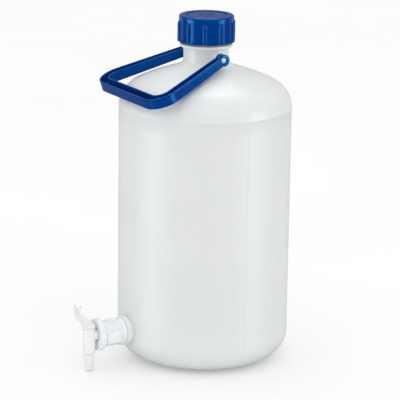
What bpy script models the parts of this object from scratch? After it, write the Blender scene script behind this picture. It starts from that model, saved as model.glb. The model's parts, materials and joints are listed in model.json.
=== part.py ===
"""Ten litre detergent dispenser bottle with a screw cap, a bail handle and a tap.

Frame: the origin is on the bottle's axis at the base, +Z is up, the tap points along -Y
and the handle's pivots lie along X. The handle lies on the shoulder on the tap's side.
"""
import math

import bmesh
import bpy
from mathutils import Matrix

MM = 0.001
MERGE_DISTANCE = 0.001 * MM

# Bottle shell
BOTTLE_RADIUS = 104.0 * MM
WALL = 2.0 * MM
BASE_THICKNESS = 2.6 * MM
BASE_CORNER_WIDTH = 43.0 * MM
BASE_CORNER_HEIGHT = 32.7 * MM
BASE_PAD_RADIUS = 24.0 * MM
BASE_RECESS_RADIUS = 58.0 * MM
BASE_RECESS_DEPTH = 1.2 * MM
PANEL_TOP = 311.4 * MM
PANEL_STEP_HEIGHT = 1.0 * MM
SHOULDER_RADIUS = 104.6 * MM
SHOULDER_CORNER = 35.5 * MM
SHOULDER_CENTRE_Z = 310.0 * MM
SHOULDER_CORNER_END = 64.0
SHOULDER_DOME = 260.0 * MM
SHOULDER_DOME_END = 71.5
BOTTLE_SEGMENTS = 40

# Neck
NECK_RADIUS = 27.2 * MM
NECK_BORE = 24.5 * MM
NECK_FILLET = 9.0 * MM
NECK_TOP = 416.0 * MM
NECK_RIM_ROUND = 0.9 * MM
BEAD_RADIUS = 31.7 * MM
BEAD_BOTTOM = 384.6 * MM
BEAD_TOP = 388.5 * MM
BEAD_CHAMFER = 0.8 * MM
NECK_SEGMENTS = 40

# Neck and cap thread
CAP_PITCH = 6.0 * MM
CAP_THREAD_TURNS = 2.0
NECK_THREAD_START = 398.0 * MM
NECK_THREAD_CREST = 29.5 * MM
CAP_THREAD_CREST = 27.75 * MM
CAP_THREAD_OFFSET = 2.4 * MM
THREAD_ROOT_HALF = 1.6 * MM
THREAD_CREST_HALF = 0.6 * MM
THREAD_STEPS = 24
THREAD_EMBED = 0.6 * MM
THREAD_RUN_OUT = 1 / 8

# Screw cap and liner
CAP_RADIUS = 33.0 * MM
CAP_BORE = 30.15 * MM
CAP_BOTTOM = 390.5 * MM
CAP_TOP = 422.6 * MM
CAP_CEILING = 418.35 * MM
CAP_EDGE_ROUND = 4.0 * MM
CAP_BAND_RADIUS = 34.3 * MM
CAP_BAND_HEIGHT = 3.0 * MM
CAP_BAND_ROUND = 1.5 * MM
CAP_LIP_CHAMFER = 0.8 * MM
CAP_RIM_INNER = 25.8 * MM
CAP_RECESS_DEPTH = 1.1 * MM
CAP_DISC_RADIUS = 22.6 * MM
CAP_DISC_DEPTH = 0.5 * MM
CAP_GROOVE_OUTER = 10.4 * MM
CAP_GROOVE_INNER = 7.0 * MM
RIB_COUNT = 10
RIB_RADIUS = 2.8 * MM
RIB_CREST = 35.6 * MM
RIB_FOOT = 391.2 * MM
RIB_FOOT_BEVEL = 1.2 * MM
RIB_TOP = 416.0 * MM
RIB_FIRST_ANGLE = -33.0
RIB_SEGMENTS = 12
CAP_SEGMENTS = 40
LINER_RADIUS = 28.6 * MM
LINER_BOTTOM = 416.35 * MM
LINER_TOP = 418.0 * MM

# Handle, modelled flat: its pivots are on X and its legs run along -Y
PIVOT_Z = 374.0 * MM
HANDLE_REST_TILT = 19.7
HANDLE_LENGTH = 118.0 * MM
HANDLE_HALF_AT_PIVOT = 44.4 * MM
HANDLE_HALF_AT_GRIP = 86.5 * MM
PIVOT_CHANNEL = (10.4 * MM, 10.8 * MM)
GRIP_CHANNEL = (12.6 * MM, 12.6 * MM)
CHANNEL_WALL = 1.9 * MM
CHANNEL_WEB = 2.2 * MM
GRIP_CORNER = 24.0 * MM
CORNER_STEPS = 7
EYE_RADIUS = 7.15 * MM
EYE_LENGTH = 11.0 * MM
EYE_BORE = 3.6 * MM
EYE_RECESS_RADIUS = 4.85 * MM
EYE_RECESS_DEPTH = 2.4 * MM
PEG_RADIUS = 3.2 * MM
PEG_END = 42.2 * MM
LUG_RADIUS = 6.0 * MM
LUG_END = 33.0 * MM
EYE_SEGMENTS = 24

# Outlet spigot, along -Y at the height of the tap
TAP_Z = 44.0 * MM
COLLAR_RADIUS = 17.5 * MM
COLLAR_ROOT_RADIUS = 15.4 * MM
COLLAR_START = 101.0 * MM
COLLAR_FLANGE_START = 106.0 * MM
COLLAR_END = 112.4 * MM
COLLAR_CHAMFER = 1.0 * MM
SPIGOT_RADIUS = 12.0 * MM
SPIGOT_BORE = 9.5 * MM
SPIGOT_END = 137.0 * MM
SPIGOT_THREAD_CREST = 13.2 * MM
SPIGOT_PITCH = 3.0 * MM
SPIGOT_THREAD_START = 118.0 * MM
SPIGOT_THREAD_TURNS = 5.0
FINE_ROOT_HALF = 0.8 * MM
FINE_CREST_HALF = 0.3 * MM
FINE_STEPS = 18
SPIGOT_SEGMENTS = 32

# Union nut
NUT_START = 112.9 * MM
NUT_END = 148.0 * MM
NUT_RADIUS = 15.5 * MM
NUT_BORE = 13.8 * MM
NUT_BACK_RADIUS = 17.0 * MM
NUT_BACK_LENGTH = 4.0 * MM
NUT_FRONT_RADIUS = 19.5 * MM
NUT_FRONT_LENGTH = 5.6 * MM
NUT_LIP_START = 142.55 * MM
NUT_LIP_END = 146.8 * MM
NUT_LIP_BORE = 7.8 * MM
NUT_RECESS_RADIUS = 17.0 * MM
NUT_CHAMFER = 0.8 * MM
NUT_THREAD_CREST = 12.5 * MM
NUT_THREAD_OFFSET = 1.5 * MM
NUT_THREAD_TURNS = 4.0
PAD_INNER = 14.1 * MM
PAD_OUTER = 18.0 * MM
PAD_BEVEL = 0.8 * MM
PAD_LENGTH = 19.0 * MM
PAD_WIDTH = 12.4 * MM
PAD_START = 121.5 * MM
TAB_LENGTH = 10.5 * MM
TAB_WIDTH = 7.0 * MM
TAB_START = 123.5 * MM
# Each raised pad: its angle round the nut, where it starts, its length and its width
NUT_PADS = {
    "right_pad": (-6.0, PAD_START, PAD_LENGTH, PAD_WIDTH),
    "top_tab": (84.0, TAB_START, TAB_LENGTH, TAB_WIDTH),
    "left_pad": (174.0, PAD_START, PAD_LENGTH, PAD_WIDTH),
}

# Tap body, gasket, plug and lever
GASKET_START = 137.35 * MM
GASKET_END = 139.25 * MM
GASKET_OUTER = 12.4 * MM
GASKET_INNER = 8.6 * MM
FLANGE_START = 139.6 * MM
FLANGE_END = 142.2 * MM
FLANGE_RADIUS = 12.6 * MM
INLET_RADIUS = 6.8 * MM
INLET_BORE = 4.5 * MM
BARREL_Y = -156.0 * MM
BARREL_RADIUS = 7.2 * MM
BARREL_BORE = 6.3 * MM
BARREL_BOTTOM = 22.8 * MM
BARREL_TOP = 53.6 * MM
BARREL_CHAMFER = 0.5 * MM
PLUG_RADIUS = 5.9 * MM
PLUG_TOP = 53.3 * MM
PLUG_BORE = 3.2 * MM
PLUG_BORE_TOP = 47.2 * MM
PORT_RADIUS = 2.9 * MM
PLUG_BEAD_RADIUS = 6.7 * MM
PLUG_BEAD_TOP = 22.45 * MM
PLUG_BEAD_HEIGHT = 1.2 * MM
NOZZLE_TOP_RADIUS = 5.9 * MM
NOZZLE_TIP_RADIUS = 4.6 * MM
NOZZLE_TIP = 1.2 * MM
SQUARE_SIDE = 5.2 * MM
SQUARE_TOP = 56.6 * MM
ORING_LEVELS = {"upper": 50.6 * MM, "lower": 31.0 * MM}
ORING_SECTION = 0.65 * MM
ORING_RADIUS = 5.3 * MM
GROOVE_RADIUS = 4.35 * MM
GROOVE_HALF = 1.0 * MM
TAP_SEGMENTS = 28
INLET_SEGMENTS = 26
LEVER_HUB_BOTTOM = 53.95 * MM
LEVER_HUB_TOP = 58.8 * MM
LEVER_SOCKET_TOP = 57.0 * MM
LEVER_SOCKET_SIDE = 5.9 * MM
PADDLE_HALF_WIDTH = 8.6 * MM
PADDLE_HALF_LENGTH = 11.0 * MM
PADDLE_THICKNESS = 2.8 * MM
PADDLE_OUT = 15.2 * MM
PADDLE_Z = 74.2 * MM
PADDLE_LEAN = 10.0
PADDLE_STEPS = 20
ARM_THICKNESS = 4.4 * MM
ARM_OUTLINE = (
    (4.8 * MM, 56.4 * MM),
    (-9.2 * MM, 82.0 * MM),
    (-13.6 * MM, 83.6 * MM),
    (-14.8 * MM, 65.5 * MM),
    (-6.5 * MM, 56.4 * MM),
)

# How far a cutting tool reaches past the faces that it opens
OVERSHOOT = 2.0 * MM


def clear_scene():
    for item in list(bpy.data.objects):
        bpy.data.objects.remove(item, do_unlink=True)


def plastic(name, colour, roughness, transmission=0.0):
    material = bpy.data.materials.new(name)
    material.use_nodes = True
    shader = material.node_tree.nodes["Principled BSDF"]
    shader.inputs["Base Color"].default_value = (*colour, 1.0)
    shader.inputs["Roughness"].default_value = roughness
    shader.inputs["Metallic"].default_value = 0.0
    shader.inputs["Transmission Weight"].default_value = transmission
    material.diffuse_color = (*colour, 1.0)
    return material


def object_from(name, bm, parent=None):
    """Turn a bmesh into an object with outward faces and smooth round sides."""
    bmesh.ops.remove_doubles(bm, verts=bm.verts, dist=MERGE_DISTANCE)
    bmesh.ops.recalc_face_normals(bm, faces=bm.faces)
    mesh = bpy.data.meshes.new(name)
    bm.to_mesh(mesh)
    bm.free()
    mesh.shade_smooth()
    mesh.set_sharp_from_angle(angle=math.radians(35))
    item = bpy.data.objects.new(name, mesh)
    item.parent = parent
    bpy.context.collection.objects.link(item)
    return item


def lay_along_minus_y(bm):
    """Turn a shape made along +Z so that its height runs along -Y."""
    turn = Matrix.Rotation(math.radians(90), 4, "X")
    bmesh.ops.transform(bm, matrix=turn, verts=bm.verts)


def lay_along_x(bm, side):
    """Turn a shape made along +Z so that its height runs along +X or, for side -1, -X."""
    turn = Matrix.Rotation(math.radians(90) * side, 4, "Y")
    bmesh.ops.transform(bm, matrix=turn, verts=bm.verts)


def shift(bm, offset):
    bmesh.ops.translate(bm, verts=bm.verts, vec=offset)


def arc(centre, radii, start, end, steps):
    """Points on an elliptical arc in the (radius, height) plane, in degrees."""
    points = []
    for step in range(steps + 1):
        angle = math.radians(start + (end - start) * step / steps)
        across = centre[0] + radii[0] * math.cos(angle)
        height = centre[1] + radii[1] * math.sin(angle)
        points.append((across, height))
    return points


def turned(profile, segments):
    """Spin a (radius, height) outline about Z. An outline off the axis is closed first."""
    bm = bmesh.new()
    verts = [bm.verts.new((radius, 0.0, height)) for radius, height in profile]
    edges = [bm.edges.new(pair) for pair in zip(verts, verts[1:])]
    if profile[0][0] > 0.0:
        edges.append(bm.edges.new((verts[-1], verts[0])))
    bmesh.ops.spin(
        bm,
        geom=verts + edges,
        cent=(0.0, 0.0, 0.0),
        axis=(0.0, 0.0, 1.0),
        angle=math.tau,
        steps=segments,
        use_merge=True,
    )
    return bm


def rod(radius, start, end, segments):
    return turned([(0.0, start), (radius, start), (radius, end), (0.0, end)], segments)


def block(size, centre):
    bm = bmesh.new()
    place = Matrix.Translation(centre) @ Matrix.Diagonal((*size, 1.0))
    bmesh.ops.create_cube(bm, size=1.0, matrix=place)
    return bm


def thread_ridge(root, crest, halves, pitch, start, turns, steps):
    """A helical ridge with a trapezium section, which rises at its start and fades out at its end."""
    bm = bmesh.new()
    count = round(turns * steps)
    inward = 1.0 if crest < root else -1.0
    fade_steps = steps * THREAD_RUN_OUT
    rings = []
    for step in range(count + 1):
        angle = math.tau * step / steps
        height = start + pitch * step / steps
        fade = min(1.0, (step + 0.4) / fade_steps, (count - step + 0.4) / fade_steps)
        top = root + (crest - root) * fade
        section = [
            (root + inward * THREAD_EMBED, -halves[0]),
            (top, -halves[1] * fade),
            (top, halves[1] * fade),
            (root + inward * THREAD_EMBED, halves[0]),
        ]
        ring = []
        for radius, offset in section:
            place = (radius * math.cos(angle), radius * math.sin(angle), height + offset)
            ring.append(bm.verts.new(place))
        rings.append(ring)
    for ring, following in zip(rings, rings[1:]):
        for corner in range(4):
            after = (corner + 1) % 4
            bm.faces.new((ring[corner], ring[after], following[after], following[corner]))
    bm.faces.new(rings[0])
    bm.faces.new(rings[-1])
    return bm


def combine(target, bm, operation, label):
    """Add a live Boolean with a hidden tool object that follows the target."""
    tool = object_from(target.name + "_" + label, bm, parent=target)
    tool.hide_render = True
    tool.display_type = "WIRE"
    modifier = target.modifiers.new(label, "BOOLEAN")
    modifier.operation = operation
    modifier.solver = "EXACT"
    modifier.object = tool
    return tool


def finish_piece(item, material, location=(0.0, 0.0, 0.0), tilt=0.0):
    item.data.materials.append(material)
    item.location = location
    item.rotation_euler = (math.radians(tilt), 0.0, 0.0)
    return item


def dome_centre():
    """Centre of the shoulder's shallow dome, tangent to the end of its corner arc."""
    angle = math.radians(SHOULDER_CORNER_END)
    reach = SHOULDER_CORNER - SHOULDER_DOME
    across = SHOULDER_RADIUS - SHOULDER_CORNER + reach * math.cos(angle)
    return across, SHOULDER_CENTRE_Z + reach * math.sin(angle)


def neck_fillet_height():
    """Height of the centre of the fillet between the shoulder's cone and the neck."""
    slope = math.radians(90 - SHOULDER_DOME_END)
    centre = dome_centre()
    end = math.radians(SHOULDER_DOME_END)
    dome_end = (centre[0] + SHOULDER_DOME * math.cos(end), centre[1] + SHOULDER_DOME * math.sin(end))
    touch = NECK_RADIUS + NECK_FILLET - NECK_FILLET * math.cos(end)
    rise = (dome_end[0] - touch) * math.tan(slope)
    return dome_end[1] + rise + NECK_FILLET * math.sin(end)


def shoulder(inset, steps):
    """The shoulder's outline from the wall up to the neck, moved inwards by inset."""
    corner_centre = (SHOULDER_RADIUS - SHOULDER_CORNER, SHOULDER_CENTRE_Z)
    corner = SHOULDER_CORNER - inset
    start = math.degrees(math.asin((PANEL_TOP + PANEL_STEP_HEIGHT - SHOULDER_CENTRE_Z) / corner))
    dome = SHOULDER_DOME - inset
    points = arc(corner_centre, (corner, corner), start, SHOULDER_CORNER_END, steps)
    points += arc(dome_centre(), (dome, dome), SHOULDER_CORNER_END, SHOULDER_DOME_END, 2)[1:]
    return points


def bottle_profile():
    """Outline of the shell from the base's middle, up the outside and down the inside."""
    corner_centre = (BOTTLE_RADIUS - BASE_CORNER_WIDTH, BASE_CORNER_HEIGHT)
    recess = BASE_RECESS_DEPTH
    fillet_centre = (NECK_RADIUS + NECK_FILLET, neck_fillet_height())
    fillet_start = SHOULDER_DOME_END + 180
    inner_fillet = fillet_centre[0] - NECK_BORE
    points = [
        (0.0, 0.0),
        (BASE_PAD_RADIUS, 0.0),
        (BASE_PAD_RADIUS + recess, recess),
        (BASE_RECESS_RADIUS - recess, recess),
        (BASE_RECESS_RADIUS, 0.0),
    ]
    points += arc(corner_centre, (BASE_CORNER_WIDTH, BASE_CORNER_HEIGHT), -90, 0, 6)
    points.append((BOTTLE_RADIUS, PANEL_TOP))
    points += shoulder(0.0, 6)
    points += arc(fillet_centre, (NECK_FILLET, NECK_FILLET), fillet_start, 180, 3)
    points += [
        (NECK_RADIUS, BEAD_BOTTOM),
        (BEAD_RADIUS - BEAD_CHAMFER, BEAD_BOTTOM),
        (BEAD_RADIUS, BEAD_BOTTOM + BEAD_CHAMFER),
        (BEAD_RADIUS, BEAD_TOP - BEAD_CHAMFER),
        (BEAD_RADIUS - BEAD_CHAMFER, BEAD_TOP),
        (NECK_RADIUS, BEAD_TOP),
        (NECK_RADIUS, NECK_TOP - NECK_RIM_ROUND),
        (NECK_RADIUS - NECK_RIM_ROUND, NECK_TOP),
        (NECK_BORE + NECK_RIM_ROUND, NECK_TOP),
        (NECK_BORE, NECK_TOP - NECK_RIM_ROUND),
    ]
    points += arc(fillet_centre, (inner_fillet, inner_fillet), 180, fillet_start, 2)
    points += reversed(shoulder(WALL, 4))
    inner_base = (BASE_CORNER_WIDTH - WALL, BASE_CORNER_HEIGHT - BASE_THICKNESS)
    points += arc(corner_centre, inner_base, 0, -90, 4)
    points.append((0.0, BASE_THICKNESS))
    return points


def make_bottle(material):
    bottle = object_from("bottle_body", turned(bottle_profile(), BOTTLE_SEGMENTS))
    add_neck_thread(bottle)
    for side, label in ((1.0, "right"), (-1.0, "left")):
        add_pivot_lug(bottle, side, label)
    add_spigot(bottle)
    return finish_piece(bottle, material)


def add_neck_thread(bottle):
    ridge = thread_ridge(
        NECK_RADIUS,
        NECK_THREAD_CREST,
        (THREAD_ROOT_HALF, THREAD_CREST_HALF),
        CAP_PITCH,
        NECK_THREAD_START,
        CAP_THREAD_TURNS,
        THREAD_STEPS,
    )
    combine(bottle, ridge, "UNION", "neck_thread")


def add_pivot_lug(bottle, side, label):
    """A round lug on the neck that ends in the peg on which the handle's eye turns."""
    start = (NECK_BORE + NECK_RADIUS) / 2
    profile = [
        (0.0, start),
        (LUG_RADIUS, start),
        (LUG_RADIUS, LUG_END),
        (PEG_RADIUS, LUG_END),
        (PEG_RADIUS, PEG_END),
        (0.0, PEG_END),
    ]
    lug = turned(profile, EYE_SEGMENTS)
    lay_along_x(lug, side)
    shift(lug, (0.0, 0.0, PIVOT_Z))
    combine(bottle, lug, "UNION", label + "_lug")


def add_spigot(bottle):
    """The outlet: a collar on the wall and a threaded tube, drilled into the bottle."""
    profile = [
        (0.0, COLLAR_START),
        (COLLAR_ROOT_RADIUS, COLLAR_START),
        (COLLAR_ROOT_RADIUS, COLLAR_FLANGE_START),
        (COLLAR_RADIUS, COLLAR_FLANGE_START),
        (COLLAR_RADIUS, COLLAR_END - COLLAR_CHAMFER),
        (COLLAR_RADIUS - COLLAR_CHAMFER, COLLAR_END),
        (SPIGOT_RADIUS, COLLAR_END),
        (SPIGOT_RADIUS, SPIGOT_END),
        (0.0, SPIGOT_END),
    ]
    spigot = turned(profile, SPIGOT_SEGMENTS)
    ridge = thread_ridge(
        SPIGOT_RADIUS,
        SPIGOT_THREAD_CREST,
        (FINE_ROOT_HALF, FINE_CREST_HALF),
        SPIGOT_PITCH,
        SPIGOT_THREAD_START,
        SPIGOT_THREAD_TURNS,
        FINE_STEPS,
    )
    drill = rod(SPIGOT_BORE, COLLAR_START - 3 * OVERSHOOT, SPIGOT_END + OVERSHOOT, SPIGOT_SEGMENTS)
    for shape in (spigot, ridge, drill):
        lay_along_minus_y(shape)
        shift(shape, (0.0, 0.0, TAP_Z))
    combine(bottle, spigot, "UNION", "spigot")
    combine(bottle, ridge, "UNION", "spigot_thread")
    combine(bottle, drill, "DIFFERENCE", "spigot_drill")


def cap_profile():
    """Outline of the cap from the middle of its top, down the outside and up its bore."""
    band_top = CAP_BOTTOM + CAP_BAND_HEIGHT
    band_centre = (CAP_BAND_RADIUS - CAP_BAND_ROUND, CAP_BOTTOM + CAP_BAND_ROUND)
    edge_centre = (CAP_RADIUS - CAP_EDGE_ROUND, CAP_TOP - CAP_EDGE_ROUND)
    recess = CAP_TOP - CAP_RECESS_DEPTH
    disc = CAP_TOP - CAP_DISC_DEPTH
    slope = CAP_RECESS_DEPTH - CAP_DISC_DEPTH
    points = [
        (0.0, disc),
        (CAP_GROOVE_INNER, disc),
        (CAP_GROOVE_INNER + slope, recess),
        (CAP_GROOVE_OUTER - slope, recess),
        (CAP_GROOVE_OUTER, disc),
        (CAP_DISC_RADIUS, disc),
        (CAP_DISC_RADIUS + slope, recess),
        (CAP_RIM_INNER - slope, recess),
        (CAP_RIM_INNER, CAP_TOP),
    ]
    points += arc(edge_centre, (CAP_EDGE_ROUND, CAP_EDGE_ROUND), 90, 0, 4)
    points += [
        (CAP_RADIUS, band_top + CAP_LIP_CHAMFER),
        (CAP_BAND_RADIUS, band_top),
    ]
    points += arc(band_centre, (CAP_BAND_ROUND, CAP_BAND_ROUND), 0, -90, 3)
    points += [
        (CAP_BORE + CAP_LIP_CHAMFER, CAP_BOTTOM),
        (CAP_BORE, CAP_BOTTOM + CAP_LIP_CHAMFER),
        (CAP_BORE, CAP_CEILING),
        (0.0, CAP_CEILING),
    ]
    return points


def cap_ribs():
    """The grip ribs: half-round bars with a bevelled foot and a dome below the cap's top."""
    ribs = bmesh.new()
    centre_radius = RIB_CREST - RIB_RADIUS
    dome = arc((0.0, RIB_TOP - RIB_RADIUS), (RIB_RADIUS, RIB_RADIUS), 0, 90, 3)
    profile = [
        (0.0, RIB_FOOT),
        (RIB_RADIUS - RIB_FOOT_BEVEL, RIB_FOOT),
        (RIB_RADIUS, RIB_FOOT + RIB_FOOT_BEVEL),
    ]
    profile += dome[:-1] + [(0.0, RIB_TOP)]
    for number in range(RIB_COUNT):
        angle = math.radians(RIB_FIRST_ANGLE + 360 * number / RIB_COUNT)
        rib = turned(profile, RIB_SEGMENTS)
        shift(rib, (centre_radius * math.cos(angle), centre_radius * math.sin(angle), 0.0))
        mesh = bpy.data.meshes.new("rib")
        rib.to_mesh(mesh)
        rib.free()
        ribs.from_mesh(mesh)
        bpy.data.meshes.remove(mesh)
    return ribs


def make_cap(material):
    cap = object_from("screw_cap", turned(cap_profile(), CAP_SEGMENTS))
    combine(cap, cap_ribs(), "UNION", "ribs")
    ridge = thread_ridge(
        CAP_BORE,
        CAP_THREAD_CREST,
        (THREAD_ROOT_HALF, THREAD_CREST_HALF),
        CAP_PITCH,
        NECK_THREAD_START - CAP_THREAD_OFFSET,
        CAP_THREAD_TURNS,
        THREAD_STEPS,
    )
    combine(cap, ridge, "UNION", "cap_thread")
    return finish_piece(cap, material)


def make_liner(material):
    liner = object_from("cap_liner", rod(LINER_RADIUS, LINER_BOTTOM, LINER_TOP, CAP_SEGMENTS))
    return finish_piece(liner, material)


def handle_route():
    """Outer edge of the handle in plan, from the right pivot round the grip to the left.

    Each entry is a point on the outer edge, the unit vector that points inwards from it, and
    the channel's width and height there. The legs grow from the pivots to the grip.
    """
    splay = math.atan2(HANDLE_HALF_AT_GRIP - HANDLE_HALF_AT_PIVOT, HANDLE_LENGTH)
    turn = math.pi / 2 + splay
    trim = GRIP_CORNER * math.tan(turn / 2)
    centre_x = HANDLE_HALF_AT_GRIP - trim
    centre_y = GRIP_CORNER - HANDLE_LENGTH
    leg_inward = (-math.cos(splay), -math.sin(splay))
    right = [((HANDLE_HALF_AT_PIVOT, 0.0), leg_inward, PIVOT_CHANNEL)]
    for step in range(CORNER_STEPS + 1):
        angle = splay - turn * step / CORNER_STEPS
        outward = (math.cos(angle), math.sin(angle))
        point = (centre_x + GRIP_CORNER * outward[0], centre_y + GRIP_CORNER * outward[1])
        right.append((point, (-outward[0], -outward[1]), GRIP_CHANNEL))
    left = []
    for point, inward, size in reversed(right):
        left.append(((-point[0], point[1]), (-inward[0], inward[1]), size))
    return right + left


def channel_section(width, height):
    """The channel's section as (depth from the outer edge, height), open at the top."""
    half = height / 2
    floor = CHANNEL_WEB - half
    return [
        (0.0, -half),
        (0.0, half),
        (CHANNEL_WALL, half),
        (CHANNEL_WALL, floor),
        (width - CHANNEL_WALL, floor),
        (width - CHANNEL_WALL, half),
        (width, half),
        (width, -half),
    ]


def handle_channel():
    """The channel swept along the handle's route."""
    bm = bmesh.new()
    rings = []
    for point, inward, size in handle_route():
        ring = []
        for depth, height in channel_section(*size):
            place = (point[0] + inward[0] * depth, point[1] + inward[1] * depth, height)
            ring.append(bm.verts.new(place))
        rings.append(ring)
    for ring, following in zip(rings, rings[1:]):
        for corner in range(len(ring)):
            after = (corner + 1) % len(ring)
            bm.faces.new((ring[corner], ring[after], following[after], following[corner]))
    bm.faces.new(rings[0])
    bm.faces.new(rings[-1])
    return bm


def side_rod(radius, start, end, side):
    """A rod along X, as for a pivot, on the side that side gives (1 or -1)."""
    bm = rod(radius, start, end, EYE_SEGMENTS)
    lay_along_x(bm, side)
    return bm


def make_handle(material):
    handle = object_from("carrying_handle", handle_channel())
    outer = HANDLE_HALF_AT_PIVOT
    inner = outer - EYE_LENGTH
    for side, label in ((1.0, "right"), (-1.0, "left")):
        eye = side_rod(EYE_RADIUS, inner, outer, side)
        combine(handle, eye, "UNION", label + "_eye")
        bore = side_rod(EYE_BORE, inner - EYE_LENGTH, outer + EYE_LENGTH, side)
        combine(handle, bore, "DIFFERENCE", label + "_bore")
        recess = side_rod(EYE_RECESS_RADIUS, outer - EYE_RECESS_DEPTH, outer + EYE_LENGTH, side)
        combine(handle, recess, "DIFFERENCE", label + "_recess")
    return finish_piece(handle, material, (0.0, 0.0, PIVOT_Z), HANDLE_REST_TILT)


def nut_profile():
    back_end = NUT_START + NUT_BACK_LENGTH
    front_start = NUT_END - NUT_FRONT_LENGTH
    return [
        (NUT_BORE, NUT_START),
        (NUT_BACK_RADIUS - NUT_CHAMFER, NUT_START),
        (NUT_BACK_RADIUS, NUT_START + NUT_CHAMFER),
        (NUT_BACK_RADIUS, back_end),
        (NUT_RADIUS, back_end + NUT_CHAMFER),
        (NUT_RADIUS, front_start - NUT_CHAMFER),
        (NUT_FRONT_RADIUS, front_start),
        (NUT_FRONT_RADIUS, NUT_END - NUT_CHAMFER),
        (NUT_FRONT_RADIUS - NUT_CHAMFER, NUT_END),
        (NUT_RECESS_RADIUS, NUT_END),
        (NUT_RECESS_RADIUS, NUT_LIP_END),
        (NUT_LIP_BORE, NUT_LIP_END),
        (NUT_LIP_BORE, NUT_LIP_START),
        (NUT_BORE, NUT_LIP_START),
    ]


def make_nut(material):
    nut = object_from("union_nut", turned(nut_profile(), SPIGOT_SEGMENTS))
    for label, (angle, start, length, width) in NUT_PADS.items():
        size = (PAD_OUTER - PAD_INNER, width, length)
        pad = block(size, ((PAD_OUTER + PAD_INNER) / 2, 0.0, start + length / 2))
        bmesh.ops.bevel(pad, geom=pad.edges, offset=PAD_BEVEL, segments=1, affect="EDGES")
        turn = Matrix.Rotation(math.radians(angle), 4, "Z")
        bmesh.ops.transform(pad, matrix=turn, verts=pad.verts)
        combine(nut, pad, "UNION", label)
    ridge = thread_ridge(
        NUT_BORE,
        NUT_THREAD_CREST,
        (FINE_ROOT_HALF, FINE_CREST_HALF),
        SPIGOT_PITCH,
        SPIGOT_THREAD_START + NUT_THREAD_OFFSET,
        NUT_THREAD_TURNS,
        FINE_STEPS,
    )
    combine(nut, ridge, "UNION", "nut_thread")
    return finish_piece(nut, material, (0.0, 0.0, TAP_Z), 90.0)


def make_gasket(material):
    profile = [
        (GASKET_INNER, GASKET_START),
        (GASKET_OUTER, GASKET_START),
        (GASKET_OUTER, GASKET_END),
        (GASKET_INNER, GASKET_END),
    ]
    gasket = object_from("tap_gasket", turned(profile, SPIGOT_SEGMENTS))
    return finish_piece(gasket, material, (0.0, 0.0, TAP_Z), 90.0)


def make_tap_body(material):
    """The flange and inlet pipe are turned along -Y and the barrel is upright."""
    axis_reach = -BARREL_Y
    profile = [
        (0.0, FLANGE_START),
        (FLANGE_RADIUS, FLANGE_START),
        (FLANGE_RADIUS, FLANGE_END),
        (INLET_RADIUS, FLANGE_END),
        (INLET_RADIUS, axis_reach),
        (0.0, axis_reach),
    ]
    inlet = turned(profile, INLET_SEGMENTS)
    inlet_bore = rod(INLET_BORE, FLANGE_START - OVERSHOOT, axis_reach, INLET_SEGMENTS)
    for shape in (inlet, inlet_bore):
        lay_along_minus_y(shape)
        shift(shape, (0.0, -BARREL_Y, TAP_Z))
    barrel_profile = [
        (0.0, BARREL_BOTTOM),
        (BARREL_RADIUS - BARREL_CHAMFER, BARREL_BOTTOM),
        (BARREL_RADIUS, BARREL_BOTTOM + BARREL_CHAMFER),
        (BARREL_RADIUS, BARREL_TOP - BARREL_CHAMFER),
        (BARREL_RADIUS - BARREL_CHAMFER, BARREL_TOP),
        (0.0, BARREL_TOP),
    ]
    body = object_from("tap_body", turned(barrel_profile, TAP_SEGMENTS))
    combine(body, inlet, "UNION", "inlet")
    combine(body, inlet_bore, "DIFFERENCE", "inlet_bore")
    barrel_bore = rod(BARREL_BORE, BARREL_BOTTOM - OVERSHOOT, BARREL_TOP + OVERSHOOT, TAP_SEGMENTS)
    combine(body, barrel_bore, "DIFFERENCE", "barrel_bore")
    return finish_piece(body, material, (0.0, BARREL_Y, 0.0))


def plug_profile():
    """The plug about its own axis: nozzle, retaining bead, two seal grooves and top."""
    bead_bottom = PLUG_BEAD_TOP - PLUG_BEAD_HEIGHT
    points = [
        (0.0, NOZZLE_TIP),
        (NOZZLE_TIP_RADIUS, NOZZLE_TIP),
        (NOZZLE_TOP_RADIUS, bead_bottom),
        (PLUG_BEAD_RADIUS, bead_bottom + PLUG_BEAD_HEIGHT / 2),
        (PLUG_BEAD_RADIUS, PLUG_BEAD_TOP),
        (PLUG_RADIUS, PLUG_BEAD_TOP),
    ]
    for level in sorted(ORING_LEVELS.values()):
        points += [
            (PLUG_RADIUS, level - GROOVE_HALF),
            (GROOVE_RADIUS, level - GROOVE_HALF),
            (GROOVE_RADIUS, level + GROOVE_HALF),
            (PLUG_RADIUS, level + GROOVE_HALF),
        ]
    points += [(PLUG_RADIUS, PLUG_TOP), (0.0, PLUG_TOP)]
    return points


def make_plug(material):
    plug = object_from("tap_plug", turned(plug_profile(), TAP_SEGMENTS))
    head_bottom = PLUG_TOP - OVERSHOOT
    size = (SQUARE_SIDE, SQUARE_SIDE, SQUARE_TOP - head_bottom)
    combine(plug, block(size, (0.0, 0.0, (SQUARE_TOP + head_bottom) / 2)), "UNION", "square_head")
    bore = rod(PLUG_BORE, NOZZLE_TIP - OVERSHOOT, PLUG_BORE_TOP, TAP_SEGMENTS)
    combine(plug, bore, "DIFFERENCE", "flow_bore")
    port = side_rod(PORT_RADIUS, 0.0, PLUG_RADIUS + OVERSHOOT, 1.0)
    shift(port, (0.0, 0.0, TAP_Z))
    combine(plug, port, "DIFFERENCE", "side_port")
    return finish_piece(plug, material, (0.0, BARREL_Y, 0.0))


def make_orings(material):
    for label, level in ORING_LEVELS.items():
        section = arc((ORING_RADIUS, level), (ORING_SECTION, ORING_SECTION), 0, 360, 8)[:-1]
        ring = object_from("plug_oring_" + label, turned(section, TAP_SEGMENTS))
        finish_piece(ring, material, (0.0, BARREL_Y, 0.0))


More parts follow.
